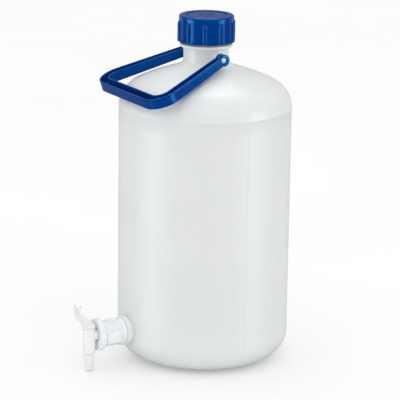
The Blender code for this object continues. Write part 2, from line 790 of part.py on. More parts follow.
def extruded(bm, verts, offset):
    """Close a flat outline and extrude it into a plate along offset."""
    face = bm.faces.new(verts)
    result = bmesh.ops.extrude_face_region(bm, geom=[face])
    moved = [part for part in result["geom"] if isinstance(part, bmesh.types.BMVert)]
    bmesh.ops.translate(bm, verts=moved, vec=offset)
    return bm


def lever_paddle():
    """The oval finger paddle, nearly upright, leaning outwards at its top."""
    bm = bmesh.new()
    outline = arc((0.0, 0.0), (PADDLE_HALF_WIDTH, PADDLE_HALF_LENGTH), 0, 360, PADDLE_STEPS)[:-1]
    verts = [bm.verts.new((across, PADDLE_THICKNESS / 2, height)) for across, height in outline]
    extruded(bm, verts, (0.0, -PADDLE_THICKNESS, 0.0))
    lean = Matrix.Rotation(math.radians(PADDLE_LEAN), 4, "X")
    bmesh.ops.transform(bm, matrix=lean, verts=bm.verts)
    shift(bm, (0.0, -PADDLE_OUT, PADDLE_Z))
    return bm


def lever_arm():
    """The upright web that carries the paddle from the hub."""
    bm = bmesh.new()
    verts = [bm.verts.new((ARM_THICKNESS / 2, out, height)) for out, height in ARM_OUTLINE]
    return extruded(bm, verts, (-ARM_THICKNESS, 0.0, 0.0))


def make_lever(material):
    hub_round = BARREL_RADIUS / 3
    profile = [(0.0, LEVER_HUB_BOTTOM), (BARREL_RADIUS, LEVER_HUB_BOTTOM)]
    round_centre = (BARREL_RADIUS - hub_round, LEVER_HUB_TOP - hub_round)
    profile += arc(round_centre, (hub_round, hub_round), 0, 90, 3)
    profile.append((0.0, LEVER_HUB_TOP))
    lever = object_from("tap_lever", turned(profile, TAP_SEGMENTS))
    combine(lever, lever_arm(), "UNION", "arm")
    combine(lever, lever_paddle(), "UNION", "paddle")
    socket_height = LEVER_SOCKET_TOP - LEVER_HUB_BOTTOM + OVERSHOOT
    size = (LEVER_SOCKET_SIDE, LEVER_SOCKET_SIDE, socket_height)
    middle = LEVER_SOCKET_TOP - socket_height / 2
    combine(lever, block(size, (0.0, 0.0, middle)), "DIFFERENCE", "socket")
    return finish_piece(lever, material, (0.0, BARREL_Y, 0.0))


def build():
    clear_scene()
    natural = plastic("natural_polyethylene", (0.86, 0.88, 0.87), 0.38, 0.15)
    blue = plastic("blue_polypropylene", (0.0, 0.05, 0.26), 0.3)
    white = plastic("white_polypropylene", (0.88, 0.89, 0.9), 0.35)
    milky = plastic("milky_polypropylene", (0.86, 0.87, 0.82), 0.3, 0.2)
    foam = plastic("liner_foam", (0.82, 0.82, 0.8), 0.7)
    rubber = plastic("seal_rubber", (0.04, 0.04, 0.045), 0.6)
    make_bottle(natural)
    make_cap(blue)
    make_liner(foam)
    make_handle(blue)
    make_nut(white)
    make_gasket(rubber)
    make_tap_body(milky)
    make_plug(milky)
    make_orings(rubber)
    make_lever(milky)


build()
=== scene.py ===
"""Looks for the ten litre detergent dispenser bottle.

Every CAD node is replaced by a finer mesh of the same size. Round parts are turned from
rounded outlines, and threads, grip ribs and mould lines are heights on those turned
surfaces. Lengths are in metres, in the CAD's own frame.

Known faults: handle_bail, tap_housing and plug_and_nozzle aren't closed meshes after their
cuts, and bottle_shell has edges that three or more faces share once equal points are merged.
"""
import json
import math

import bmesh
import bpy
from mathutils import Matrix, Vector


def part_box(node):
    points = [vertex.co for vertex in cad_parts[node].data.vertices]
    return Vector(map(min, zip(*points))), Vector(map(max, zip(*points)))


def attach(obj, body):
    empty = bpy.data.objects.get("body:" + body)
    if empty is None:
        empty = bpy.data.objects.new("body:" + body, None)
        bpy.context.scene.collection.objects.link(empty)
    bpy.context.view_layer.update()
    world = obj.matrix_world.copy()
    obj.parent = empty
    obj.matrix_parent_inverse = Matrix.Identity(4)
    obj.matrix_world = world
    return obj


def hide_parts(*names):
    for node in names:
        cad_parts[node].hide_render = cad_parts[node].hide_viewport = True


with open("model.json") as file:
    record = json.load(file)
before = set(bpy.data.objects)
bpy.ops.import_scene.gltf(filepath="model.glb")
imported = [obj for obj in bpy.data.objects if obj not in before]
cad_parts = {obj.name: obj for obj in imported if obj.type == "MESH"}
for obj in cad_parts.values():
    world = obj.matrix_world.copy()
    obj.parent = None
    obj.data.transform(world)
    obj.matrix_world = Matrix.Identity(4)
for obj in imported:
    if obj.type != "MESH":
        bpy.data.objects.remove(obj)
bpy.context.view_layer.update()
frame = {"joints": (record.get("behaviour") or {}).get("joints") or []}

MM = 0.001
TINY = 1e-7
MERGE_DISTANCE = 0.002 * MM
OVERSHOOT = 2.0 * MM
# Largest turn between two neighbouring points of a rounded corner, in degrees
CORNER_STEP = 15.0
SHARP_ANGLE = 32.0
ROUND_SEGMENTS = 96
# Sides of a round part or bore that crosses another
CROSSING_SEGMENTS = ROUND_SEGMENTS - 6
BLOCK_BEVEL_STEPS = 4
PLATE_BEVEL_STEPS = 3
# Roundings of small edges, from the sharpest to the softest
HAIRLINE = 0.1 * MM
CRISP = 0.2 * MM
SLIGHT = 0.25 * MM
FINE = 0.3 * MM
EASED = 0.4 * MM
MEDIUM = 0.5 * MM
SOFT = 0.6 * MM
BROAD = 0.8 * MM

# Places and sizes read from the frame
BODY_LOW, BODY_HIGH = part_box("bottle_body")
CAP_LOW, CAP_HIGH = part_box("screw_cap")
LINER_LOW, LINER_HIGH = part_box("cap_liner")
NUT_LOW, NUT_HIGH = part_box("union_nut")
GASKET_LOW, GASKET_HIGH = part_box("tap_gasket")
BARREL_LOW, BARREL_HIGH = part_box("tap_body")
PLUG_LOW, PLUG_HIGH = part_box("tap_plug")
LEVER_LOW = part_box("tap_lever")[0]
JOINTS = {joint["name"]: joint for joint in frame["joints"]}
PIVOT_Z = JOINTS["handle_swing"]["pos_m"][2]
BARREL_Y = JOINTS["tap_turn"]["pos_m"][1]
TAP_Z = JOINTS["tap_turn"]["pos_m"][2]

# Bottle shell
SHOULDER_STEP = 0.52 * MM
BOTTLE_RADIUS = BODY_HIGH.x - SHOULDER_STEP
WALL = 2.0 * MM
BASE_THICKNESS = 2.6 * MM
BASE_CORNER = (43.0 * MM, 32.7 * MM)
BASE_PAD_RADIUS = 24.0 * MM
BASE_RECESS_RADIUS = 58.0 * MM
BASE_RECESS_DEPTH = 1.2 * MM
PANEL_TOP = 311.4 * MM
PANEL_STEP_HEIGHT = 1.0 * MM
SHOULDER_RADIUS = 104.6 * MM
SHOULDER_CORNER = 35.5 * MM
SHOULDER_CENTRE_Z = 310.0 * MM
SHOULDER_CORNER_END = 64.0
SHOULDER_DOME = 260.0 * MM
SHOULDER_DOME_END = 71.5
NECK_RADIUS = 27.2 * MM
NECK_BORE = 24.5 * MM
NECK_FILLET = 9.0 * MM
NECK_TOP = BODY_HIGH.z
BEAD_RADIUS = 31.7 * MM
BEAD_BOTTOM = 384.6 * MM
BEAD_TOP = 388.5 * MM
BOTTLE_SEGMENTS = 192
PANEL_RING_STEP = 20 * MM
NECK_RUN = 4 * MM
NECK_EDGE_ROUND = 0.9 * MM
# Steps of the arcs in the shell's outline, outside and inside
BASE_STEPS = (28, 16)
SHOULDER_STEPS = (24, 14)
FILLET_STEPS = (14, 8)
# Mould lines on the bottle's left and right
SEAM_HEIGHT = 0.45 * MM
SEAM_HALF_WIDTH = 1.1 * MM
SEAM_ANGLES = (0.15, 0.3, 0.45, 0.62, 0.9)
LUG_RADIUS = 6.0 * MM
LUG_END = 33.0 * MM
PEG_RADIUS = 3.2 * MM
PEG_END = 42.2 * MM

# Neck and cap thread
CAP_PITCH = 6.0 * MM
THREAD_TURNS = 2.0
THREAD_START = 398.0 * MM
THREAD_ROOT_HALF = 1.6 * MM
THREAD_CREST_HALF = 0.6 * MM
THREAD_HALVES = (THREAD_ROOT_HALF, THREAD_CREST_HALF)
THREAD_RING_STEP = 0.4 * MM
THREAD_RUN_OUT = 1 / 8
NECK_THREAD_DEPTH = 2.3 * MM
CAP_THREAD_DEPTH = 2.4 * MM
CAP_THREAD_OFFSET = 2.4 * MM

# Screw cap and liner
CAP_BOTTOM = CAP_LOW.z
CAP_TOP = CAP_HIGH.z
CAP_RADIUS = 33.0 * MM
CAP_BORE = 30.15 * MM
CAP_CEILING = 418.35 * MM
CAP_EDGE_ROUND = 4.0 * MM
CAP_BAND_RADIUS = 34.3 * MM
CAP_BAND_HEIGHT = 3.0 * MM
CAP_BAND_ROUND = 1.5 * MM
CAP_RIM_INNER = 25.8 * MM
CAP_RECESS_DEPTH = 1.1 * MM
CAP_DISC_RADIUS = 22.6 * MM
CAP_DISC_DEPTH = 0.5 * MM
CAP_GROOVE_OUTER = 10.4 * MM
CAP_GROOVE_INNER = 7.0 * MM
GATE_MARK_RADIUS = 1.6 * MM
GATE_MARK_DEPTH = 0.25 * MM
RIB_COUNT = 10
RIB_RADIUS = 2.8 * MM
RIB_CREST = 35.6 * MM
RIB_FOOT = 391.2 * MM
RIB_TOP = 416.0 * MM
RIB_FIRST_ANGLE = -33.0
RIB_BLEND = 0.3 * MM
CAP_SEGMENTS = 480
CAP_RING_STEP = 0.8 * MM
# Heights above the band where the side's rings end and where the band's fillet starts
CAP_RING_END = 1.2 * MM
CAP_FILLET_START = 1.1 * MM
CAP_BAND_SLOPE = 0.2 * MM
CAP_MOUTH_RUN = 2 * MM
CAP_SIDE_MARGIN = 0.1 * MM

# Handle, modelled flat: its pivots are on X and its legs run along -Y
HANDLE_TILT = 19.7
HANDLE_LENGTH = 118.0 * MM
HANDLE_HALF_AT_PIVOT = 44.4 * MM
HANDLE_HALF_AT_GRIP = 86.5 * MM
PIVOT_CHANNEL = (10.4 * MM, 10.8 * MM)
GRIP_CHANNEL = (12.6 * MM, 12.6 * MM)
CHANNEL_WALL = 1.9 * MM
CHANNEL_WEB = 2.2 * MM
CHANNEL_ROUND = 0.55 * MM
# Raised lines along the channel's outer wall: their places as shares of its height
LINE_PLACES = (-0.19, 0.0, 0.19)
LINE_HEIGHT = 0.45 * MM
LINE_HALF = 0.6 * MM
GRIP_CORNER = 24.0 * MM
GRIP_CORNER_STEPS = 30
EYE_RADIUS = 7.15 * MM
EYE_LENGTH = 11.0 * MM
EYE_BORE = 3.6 * MM
EYE_RECESS_RADIUS = 4.85 * MM
EYE_RECESS_DEPTH = 2.4 * MM
EYE_ROUND = 0.7 * MM

# Outlet spigot, along -Y at the height of the tap
COLLAR_RADIUS = 17.5 * MM
COLLAR_ROOT_RADIUS = 15.4 * MM
COLLAR_START = 101.0 * MM
COLLAR_FLANGE_START = 106.0 * MM
COLLAR_END = 112.4 * MM
COLLAR_ROUND = 1.2 * MM
SPIGOT_RADIUS = 12.0 * MM
SPIGOT_BORE = 9.5 * MM
SPIGOT_END = -BODY_LOW.y
FINE_PITCH = 3.0 * MM
FINE_START = 118.0 * MM
FINE_TURNS = 5.0
FINE_ROOT_HALF = 0.8 * MM
FINE_CREST_HALF = 0.3 * MM
FINE_HALVES = (FINE_ROOT_HALF, FINE_CREST_HALF)
FINE_DEPTH = 1.2 * MM
FINE_RING_STEP = 0.25 * MM

# Union nut
NUT_START = -NUT_HIGH.y
NUT_END = -NUT_LOW.y
NUT_RADIUS = 15.5 * MM
NUT_BORE = 13.8 * MM
NUT_BACK_RADIUS = 17.0 * MM
NUT_BACK_LENGTH = 4.0 * MM
NUT_FRONT_RADIUS = 19.5 * MM
NUT_FRONT_LENGTH = 5.6 * MM
NUT_LIP_START = 142.55 * MM
NUT_LIP_END = 146.8 * MM
NUT_LIP_BORE = 7.8 * MM
NUT_RECESS_RADIUS = 17.0 * MM
NUT_ROUND = 0.8 * MM
NUT_THREAD_DEPTH = 1.3 * MM
NUT_THREAD_OFFSET = 1.5 * MM
NUT_THREAD_TURNS = 4.0
PAD_INNER = 14.1 * MM
PAD_OUTER = 18.0 * MM
PAD_ROUND = 0.8 * MM
PAD_LENGTH = 19.0 * MM
PAD_WIDTH = 12.4 * MM
PAD_START = 121.5 * MM
TAB_LENGTH = 10.5 * MM
TAB_WIDTH = 7.0 * MM
TAB_START = 123.5 * MM
# Each raised pad: its angle round the nut, where it starts, its length and its width
NUT_PADS = (
    (-6.0, PAD_START, PAD_LENGTH, PAD_WIDTH),
    (84.0, TAB_START, TAB_LENGTH, TAB_WIDTH),
    (174.0, PAD_START, PAD_LENGTH, PAD_WIDTH),
)

# Tap
GASKET_OUTER = 12.4 * MM
GASKET_INNER = 8.6 * MM
FLANGE_START = -BARREL_HIGH.y
FLANGE_END = 142.2 * MM
FLANGE_RADIUS = 12.6 * MM
INLET_RADIUS = 6.8 * MM
INLET_BORE = 4.5 * MM
BARREL_RADIUS = 7.2 * MM
BARREL_BORE = 6.3 * MM
BARREL_BOTTOM = BARREL_LOW.z
BARREL_TOP = 53.6 * MM
PLUG_RADIUS = 5.9 * MM
PLUG_TOP = 53.3 * MM
PLUG_BORE = 3.2 * MM
PLUG_BORE_TOP = 47.2 * MM
PORT_RADIUS = 2.9 * MM
PLUG_BEAD_RADIUS = 6.7 * MM
PLUG_BEAD_TOP = 22.45 * MM
PLUG_BEAD_HEIGHT = 1.2 * MM
NOZZLE_TOP_RADIUS = 5.9 * MM
NOZZLE_TIP_RADIUS = 4.6 * MM
NOZZLE_TIP = PLUG_LOW.z
SQUARE_SIDE = 5.2 * MM
SQUARE_TOP = PLUG_HIGH.z
RING_LEVELS = {"upper": 50.6 * MM, "lower": 31.0 * MM}
RING_SECTION = 0.65 * MM
RING_RADIUS = 5.3 * MM
RING_GROOVE_RADIUS = 4.35 * MM
RING_GROOVE_HALF = 1.0 * MM
HUB_BOTTOM = LEVER_LOW.z
HUB_TOP = 58.8 * MM
SOCKET_TOP = 57.0 * MM
SOCKET_SIDE = 5.9 * MM
PADDLE_HALF_WIDTH = 8.6 * MM
PADDLE_HALF_LENGTH = 11.0 * MM
PADDLE_THICKNESS = 2.8 * MM
PADDLE_DISH = 0.6 * MM
PADDLE_RIM = 1.7 * MM
PADDLE_OUT = 15.2 * MM
PADDLE_Z = 74.2 * MM
PADDLE_LEAN = 10.0
# Where the paddle's dish starts and where its rim is full, in rim widths from the edge
PADDLE_DISH_START = 1.6
PADDLE_RIM_START = 0.9
PADDLE_SOFTNESS = 0.09
ARM_THICKNESS = 4.4 * MM
ARM_ROUND = 0.7 * MM
# The arm's corners: distance out from the plug's axis (outwards is negative), height, rounding
ARM_CORNERS = (
    (4.8 * MM, 56.4 * MM, 0.0),
    (-9.2 * MM, 82.0 * MM, 1.4 * MM),
    (-13.6 * MM, 83.6 * MM, 1.0 * MM),
    (-14.8 * MM, 65.5 * MM, 3.0 * MM),
    (-6.5 * MM, 56.4 * MM, 0.0),
)

# Colours, as moulded and where edges are worn; the blue's edge colour is also a painted highlight along
# its rims
NATURAL = (0.82, 0.845, 0.845)
BLUE = (0.0, 0.04, 0.25)
# Lighter blue on sharp edges of the cap and handle: partly wear, partly a painted highlight along the
# rims
BLUE_WORN_AND_HIGHLIT = (0.01, 0.17, 0.5)
BLUE_GLOSS = (0.1, 0.6, 1.0)
WHITE = (0.88, 0.9, 0.925)
WHITE_WORN = (0.93, 0.94, 0.95)
MILKY = (0.92, 0.92, 0.89)
MILKY_WORN = (0.94, 0.94, 0.92)
FOAM = (0.78, 0.78, 0.75)
RUBBER = (0.022, 0.022, 0.024)
RUBBER_BLOOM = (0.09, 0.09, 0.092)
FLOOR_COLOURS = ((0.78, 0.78, 0.785), (0.8, 0.8, 0.8))
NO_TINT = (1.0, 1.0, 1.0)
# How sharply a surface must bend for its edge to start to wear and take the painted highlight, and to be
# fully worn and highlit
WEAR_AND_HIGHLIGHT_RANGE = (0.52, 0.6)

# Camera: its roll is in degrees, its lens and sensor in millimetres
CAMERA_PLACE = (2.3184, -1.3385, 0.8940)
CAMERA_AIM = (-0.0024, -0.0041, 0.1939)
CAMERA_ROLL = 0.824
CAMERA_LENS = 204.775
CAMERA_SENSOR = 36.0

# Floor and lights: softboxes in watts, the sun's spread in degrees, glow as a strength
FLOOR_HALF_SIZE = 30.0
LIGHT_AIM = (0.0, 0.0, 0.22)
TOP_SIZE = (1.2, 0.5)
TOP_PLACE = (-0.9, 0.5, 2.4)
FRONT_SIZE = (2.4, 1.6)
FRONT_PLACE = (2.2, -0.7, 2.1)
SUN_SPREAD = 100
FLOOR_GLOW = 0.17
STUDIO_LIGHT = 0.86
SUN_STRENGTH = 0.56
TOP_WATTS = 20.0
FRONT_WATTS = 5.0
# What glossy surfaces mirror: a dim room, paler above the horizon, and tall white screens.
# Each screen: the world direction of its middle in degrees, its half width and its brightness.
MIRRORED_LOW = 0.04
MIRRORED_HIGH = 0.35
# The slopes between which the mirrored room grows paler, and between which a screen fades
ROOM_SLOPES = (-0.1, 0.3)
SCREEN_SLOPES = (0.0, 0.3)
SCREENS = (
    (-101.0, 14.0, 6.5),
    (38.0, 12.0, 6.5),
    (-168.0, 22.0, 0.6),
    (108.0, 22.0, 0.6),
)
SCREEN_FADE = 6.0
# How bright the screens are at their top, as a share of their brightness below
SCREEN_TOP_SHARE = 0.25


# ---------------- outlines and solids


def arc(centre, radii, start, end, steps):
    """Points on an elliptical arc in the (radius, height) plane, in degrees."""
    points = []
    for step in range(steps + 1):
        angle = math.radians(start + (end - start) * step / steps)
        points.append((centre[0] + radii[0] * math.cos(angle), centre[1] + radii[1] * math.sin(angle)))
    return points


def rounded(corners, closed=False):
    """Turn (radius, height, rounding) corners into points, with an arc at each rounding."""
    points = []
    last = len(corners) - 1
    for index, corner in enumerate(corners):
        here = Vector(corner[:2])
        rounding = corner[2] if len(corner) > 2 else 0.0
        if rounding <= 0.0 or (not closed and index in (0, last)):
            points.append(tuple(here))
            continue
        before = Vector(corners[index - 1][:2]) - here
        after = Vector(corners[(index + 1) % len(corners)][:2]) - here
        half = before.angle(after) / 2
        reach = min(rounding / math.tan(half), 0.49 * before.length, 0.49 * after.length)
        start = here + before.normalized() * reach
        end = here + after.normalized() * reach
        middle = (before.normalized() + after.normalized()).normalized()
        centre = here + middle * reach / math.cos(half)
        sweep = math.pi - 2 * half
        if before.x * after.y - before.y * after.x > 0.0:
            sweep = -sweep
        count = max(2, math.ceil(math.degrees(abs(sweep)) / CORNER_STEP))
        for step in range(count):
            turn = Matrix.Rotation(sweep * step / count, 2)
            points.append(tuple(centre + turn @ (start - centre)))
        points.append(tuple(end))
    return points


def even_angles(count):
    return [math.tau * step / count for step in range(count)]


def stitch(bm, ring, following):
    """Join two rings of vertices with quads, or with a fan where one is a single point."""
    count = max(len(ring), len(following))
    if count == 1:
        return
    for index in range(count):
        after = (index + 1) % count
        corners = [ring[index % len(ring)], ring[after % len(ring)]]
        corners += [following[after % len(following)], following[index % len(following)]]
        unique = list(dict.fromkeys(corners))
        if len(unique) > 2:
            bm.faces.new(unique)


def turned(outline, angles=None, relief=None):
    """Turn a (radius, height) outline about Z. relief(angle, radius, height) moves the radius.

    An outline that starts off the axis is closed on itself.
    """
    angles = angles or even_angles(ROUND_SEGMENTS)
    bm = bmesh.new()
    rings = []
    for radius, height in outline:
        if radius < TINY:
            rings.append([bm.verts.new((0.0, 0.0, height))])
            continue
        ring = []
        for angle in angles:
            reach = radius + relief(angle, radius, height) if relief else radius
            ring.append(bm.verts.new((reach * math.cos(angle), reach * math.sin(angle), height)))
        rings.append(ring)
    for ring, following in zip(rings, rings[1:]):
        stitch(bm, ring, following)
    if outline[0][0] > TINY:
        stitch(bm, rings[-1], rings[0])
    return bm


def rod(radius, start, end, segments=ROUND_SEGMENTS):
    return turned([(0.0, start), (radius, start), (radius, end), (0.0, end)], even_angles(segments))


def round_edges(bm, edges, rounding, steps):
    bmesh.ops.bevel(bm, geom=edges, offset=rounding, segments=steps, profile=0.5, affect="EDGES")


def block(size, centre, rounding=0.0):
    """A box with rounded edges."""
    bm = bmesh.new()
    place = Matrix.Translation(centre) @ Matrix.Diagonal((*size, 1.0))
    bmesh.ops.create_cube(bm, size=1.0, matrix=place)
    if rounding > 0.0:
        round_edges(bm, bm.edges, rounding, BLOCK_BEVEL_STEPS)
    return bm


def plate(outline, thickness, rounding):
    """A plate in the YZ plane, centred on X, from its (y, z) outline, with rounded rims."""
    bm = bmesh.new()
    verts = [bm.verts.new((thickness / 2, out, height)) for out, height in outline]
    face = bm.faces.new(verts)
    result = bmesh.ops.extrude_face_region(bm, geom=[face])
    moved = [part for part in result["geom"] if isinstance(part, bmesh.types.BMVert)]
    bmesh.ops.translate(bm, verts=moved, vec=(-thickness, 0.0, 0.0))
    rims = [edge for edge in bm.edges if abs(edge.verts[0].co.x - edge.verts[1].co.x) < TINY]
    round_edges(bm, rims, rounding, PLATE_BEVEL_STEPS)
    return bm


def turn_bm(bm, degrees, axis):
    bmesh.ops.transform(bm, matrix=Matrix.Rotation(math.radians(degrees), 4, axis), verts=bm.verts)


def move_bm(bm, offset):
    bmesh.ops.translate(bm, verts=bm.verts, vec=offset)


def face_outlet(bm):
    """Lay a shape made along Z along the outlet's axis, which runs along -Y."""
    turn_bm(bm, 90, "X")
    move_bm(bm, (0.0, 0.0, TAP_Z))


def move_to_tap(item):
    """Move an object made about Z to the axis of the tap's plug."""
    item.data.transform(Matrix.Translation((0.0, BARREL_Y, 0.0)))
    return item


def add_to_scene(name, data):
    item = bpy.data.objects.new(name, data)
    bpy.context.scene.collection.objects.link(item)
    return item


def object_from(name, bm):
    bmesh.ops.remove_doubles(bm, verts=bm.verts, dist=MERGE_DISTANCE)
    bmesh.ops.recalc_face_normals(bm, faces=bm.faces)
    mesh = bpy.data.meshes.new(name)
    bm.to_mesh(mesh)
    bm.free()
    return add_to_scene(name, mesh)


def combined(name, base, changes):
    """Apply unions and differences, in order, to a base shape and return the finished object."""
    item = object_from(name, base)
    tools = []
    for operation, bm in changes:
        tool = object_from(name + "_tool", bm)
        tools.append(tool)
        modifier = item.modifiers.new("change", "BOOLEAN")
        modifier.operation = operation
        modifier.solver = "EXACT"
        modifier.object = tool
    graph = bpy.context.evaluated_depsgraph_get()
    mesh = bpy.data.meshes.new_from_object(item.evaluated_get(graph))
    rough = item.data
    item.modifiers.clear()
    item.data = mesh
    mesh.name = name
    bpy.data.meshes.remove(rough)
    for tool in tools:
        spare = tool.data
        bpy.data.objects.remove(tool)
        bpy.data.meshes.remove(spare)
    return item


def thread_relief(angle, height, start, pitch, turns, halves):
    """How much of a right-hand thread's full depth stands at a place, from 0 to 1."""
    root_half, crest_half = halves
    share = 0.0
    travelled = (angle % math.tau) / math.tau
    while travelled <= turns:
        away = abs(height - start - pitch * travelled)
        rise = (root_half - away) / (root_half - crest_half)
        run_out = min(travelled, turns - travelled) / THREAD_RUN_OUT
        share = max(share, min(1.0, rise) * min(1.0, run_out))
        travelled += 1.0
    return max(0.0, share)


def levels(low, high, step):
    """Evenly spaced heights from low to high, both included."""
    count = max(1, math.ceil(abs(high - low) / step))
    return [low + (high - low) * index / count for index in range(count + 1)]


def straight(radius, low, high, step):
    """Points along a straight wall, from one height to another."""
    return [(radius, height) for height in levels(low, high, step)]


# ---------------- bottle


def dome_centre():
    """Centre of the shoulder's shallow dome, tangent to the end of its corner arc."""
    angle = math.radians(SHOULDER_CORNER_END)
    reach = SHOULDER_CORNER - SHOULDER_DOME
    across = SHOULDER_RADIUS - SHOULDER_CORNER + reach * math.cos(angle)
    return across, SHOULDER_CENTRE_Z + reach * math.sin(angle)


def neck_fillet_height():
    """Height of the centre of the fillet between the shoulder's cone and the neck."""
    end = math.radians(SHOULDER_DOME_END)
    centre = dome_centre()
    dome_end = (centre[0] + SHOULDER_DOME * math.cos(end), centre[1] + SHOULDER_DOME * math.sin(end))
    touch = NECK_RADIUS + NECK_FILLET - NECK_FILLET * math.cos(end)
    rise = (dome_end[0] - touch) / math.tan(end)
    return dome_end[1] + rise + NECK_FILLET * math.sin(end)


def shoulder(inset, steps):
    """The shoulder's outline from the wall up to the neck, moved inwards by inset."""
    corner_centre = (SHOULDER_RADIUS - SHOULDER_CORNER, SHOULDER_CENTRE_Z)
    corner = SHOULDER_CORNER - inset
    rise = PANEL_TOP + PANEL_STEP_HEIGHT - SHOULDER_CENTRE_Z
    start = math.degrees(math.asin(rise / corner))
    dome = SHOULDER_DOME - inset
    points = arc(corner_centre, (corner, corner), start, SHOULDER_CORNER_END, steps)
    points += arc(dome_centre(), (dome, dome), SHOULDER_CORNER_END, SHOULDER_DOME_END, steps // 2)[1:]
    return points


def bottle_outline():
    """Outline of the shell from the base's middle, up the outside and down the inside."""
    corner_centre = (BOTTLE_RADIUS - BASE_CORNER[0], BASE_CORNER[1])
    recess = BASE_RECESS_DEPTH
    soft = 0.8 * MM
    points = rounded([
        (0.0, 0.0),
        (BASE_PAD_RADIUS, 0.0, soft),
        (BASE_PAD_RADIUS + recess, recess, soft),
        (BASE_RECESS_RADIUS - recess, recess, soft),
        (BASE_RECESS_RADIUS, 0.0, soft),
        (corner_centre[0], 0.0),
    ])
    points += arc(corner_centre, BASE_CORNER, -90, 0, BASE_STEPS[0])[1:]
    points += straight(BOTTLE_RADIUS, corner_centre[1], PANEL_TOP, PANEL_RING_STEP)[1:]
    points += shoulder(0.0, SHOULDER_STEPS[0])
    fillet = (NECK_RADIUS + NECK_FILLET, neck_fillet_height())
    start = SHOULDER_DOME_END + 180
    points += arc(fillet, (NECK_FILLET, NECK_FILLET), start, 180, FILLET_STEPS[0])
    points += rounded([
        (NECK_RADIUS, BEAD_BOTTOM - NECK_RUN),
        (NECK_RADIUS, BEAD_BOTTOM, SOFT),
        (BEAD_RADIUS, BEAD_BOTTOM, NECK_EDGE_ROUND),
        (BEAD_RADIUS, BEAD_TOP, NECK_EDGE_ROUND),
        (NECK_RADIUS, BEAD_TOP, SOFT),
        (NECK_RADIUS, THREAD_START - 2 * THREAD_ROOT_HALF),
    ])
    thread_top = THREAD_START + CAP_PITCH * THREAD_TURNS + 2 * THREAD_ROOT_HALF
    thread_foot = THREAD_START - 2 * THREAD_ROOT_HALF
    points += straight(NECK_RADIUS, thread_foot, thread_top, THREAD_RING_STEP)[1:]
    points += rounded([
        (NECK_RADIUS, thread_top + TINY),
        (NECK_RADIUS, NECK_TOP, NECK_EDGE_ROUND),
        (NECK_BORE, NECK_TOP, NECK_EDGE_ROUND),
        (NECK_BORE, fillet[1]),
    ])[1:]
    inner = fillet[0] - NECK_BORE
    points += arc(fillet, (inner, inner), 180, start, FILLET_STEPS[1])[1:]
    points += reversed(shoulder(WALL, SHOULDER_STEPS[1]))
    inner_corner = (BASE_CORNER[0] - WALL, BASE_CORNER[1] - BASE_THICKNESS)
    points += arc(corner_centre, inner_corner, 0, -90, BASE_STEPS[1])
    points.append((0.0, BASE_THICKNESS))
    return points


def bottle_relief(angle, radius, height):
    """The neck's thread, and the mould lines that run up both sides of the outer wall."""
    if height > BEAD_TOP:
        if abs(radius - NECK_RADIUS) > TINY:
            return 0.0
        share = thread_relief(angle, height, THREAD_START, CAP_PITCH, THREAD_TURNS, THREAD_HALVES)
        return NECK_THREAD_DEPTH * share
    from_line = abs(math.remainder(angle, math.pi)) * radius
    if from_line > SEAM_HALF_WIDTH or not on_outer_wall(radius, height):
        return 0.0
    rise = SEAM_HEIGHT * (0.5 + 0.5 * math.cos(math.pi * from_line / SEAM_HALF_WIDTH))
    return min(rise, BODY_HIGH.x - radius)


def on_outer_wall(radius, height):
    """True on the outside of the shell between the foot and the neck's bead."""
    if height < BASE_CORNER[1]:
        across = (radius - BOTTLE_RADIUS + BASE_CORNER[0]) / (BASE_CORNER[0] - WALL / 2)
        down = (BASE_CORNER[1] - height) / (BASE_CORNER[1] - BASE_THICKNESS / 2)
        return across > 0.0 and across * across + down * down > 1.0
    if height < PANEL_TOP + PANEL_STEP_HEIGHT:
        return radius > BOTTLE_RADIUS - WALL / 2
    corner_centre = (SHOULDER_RADIUS - SHOULDER_CORNER, SHOULDER_CENTRE_Z)
    if radius > corner_centre[0] + SHOULDER_CORNER * math.cos(math.radians(SHOULDER_CORNER_END)):
        away = math.hypot(radius - corner_centre[0], height - corner_centre[1])
        return away > SHOULDER_CORNER - WALL / 2
    if radius > NECK_RADIUS + NECK_FILLET:
        centre = dome_centre()
        return math.hypot(radius - centre[0], height - centre[1]) > SHOULDER_DOME - WALL / 2
    return radius > NECK_RADIUS - TINY and height < BEAD_BOTTOM


def bottle_angles():
    """Even steps round the bottle, with finer ones across the two mould lines."""
    angles = set(even_angles(BOTTLE_SEGMENTS))
    for line in (0.0, math.pi):
        for away in SEAM_ANGLES:
            for side in (1, -1):
                angles.add((line + side * math.radians(away)) % math.tau)
    return sorted(angles)


def lug_shape(side):
    """A lug on the neck that ends in the peg on which the handle's eye turns."""
    start = (NECK_BORE + NECK_RADIUS) / 2
    outline = rounded([
        (0.0, start),
        (LUG_RADIUS, start),
        (LUG_RADIUS, LUG_END, MEDIUM),
        (PEG_RADIUS, LUG_END, FINE),
        (PEG_RADIUS, PEG_END, SOFT),
        (0.0, PEG_END),
    ])
    bm = turned(outline)
    turn_bm(bm, 90 * side, "Y")
    move_bm(bm, (0.0, 0.0, PIVOT_Z))
    return bm


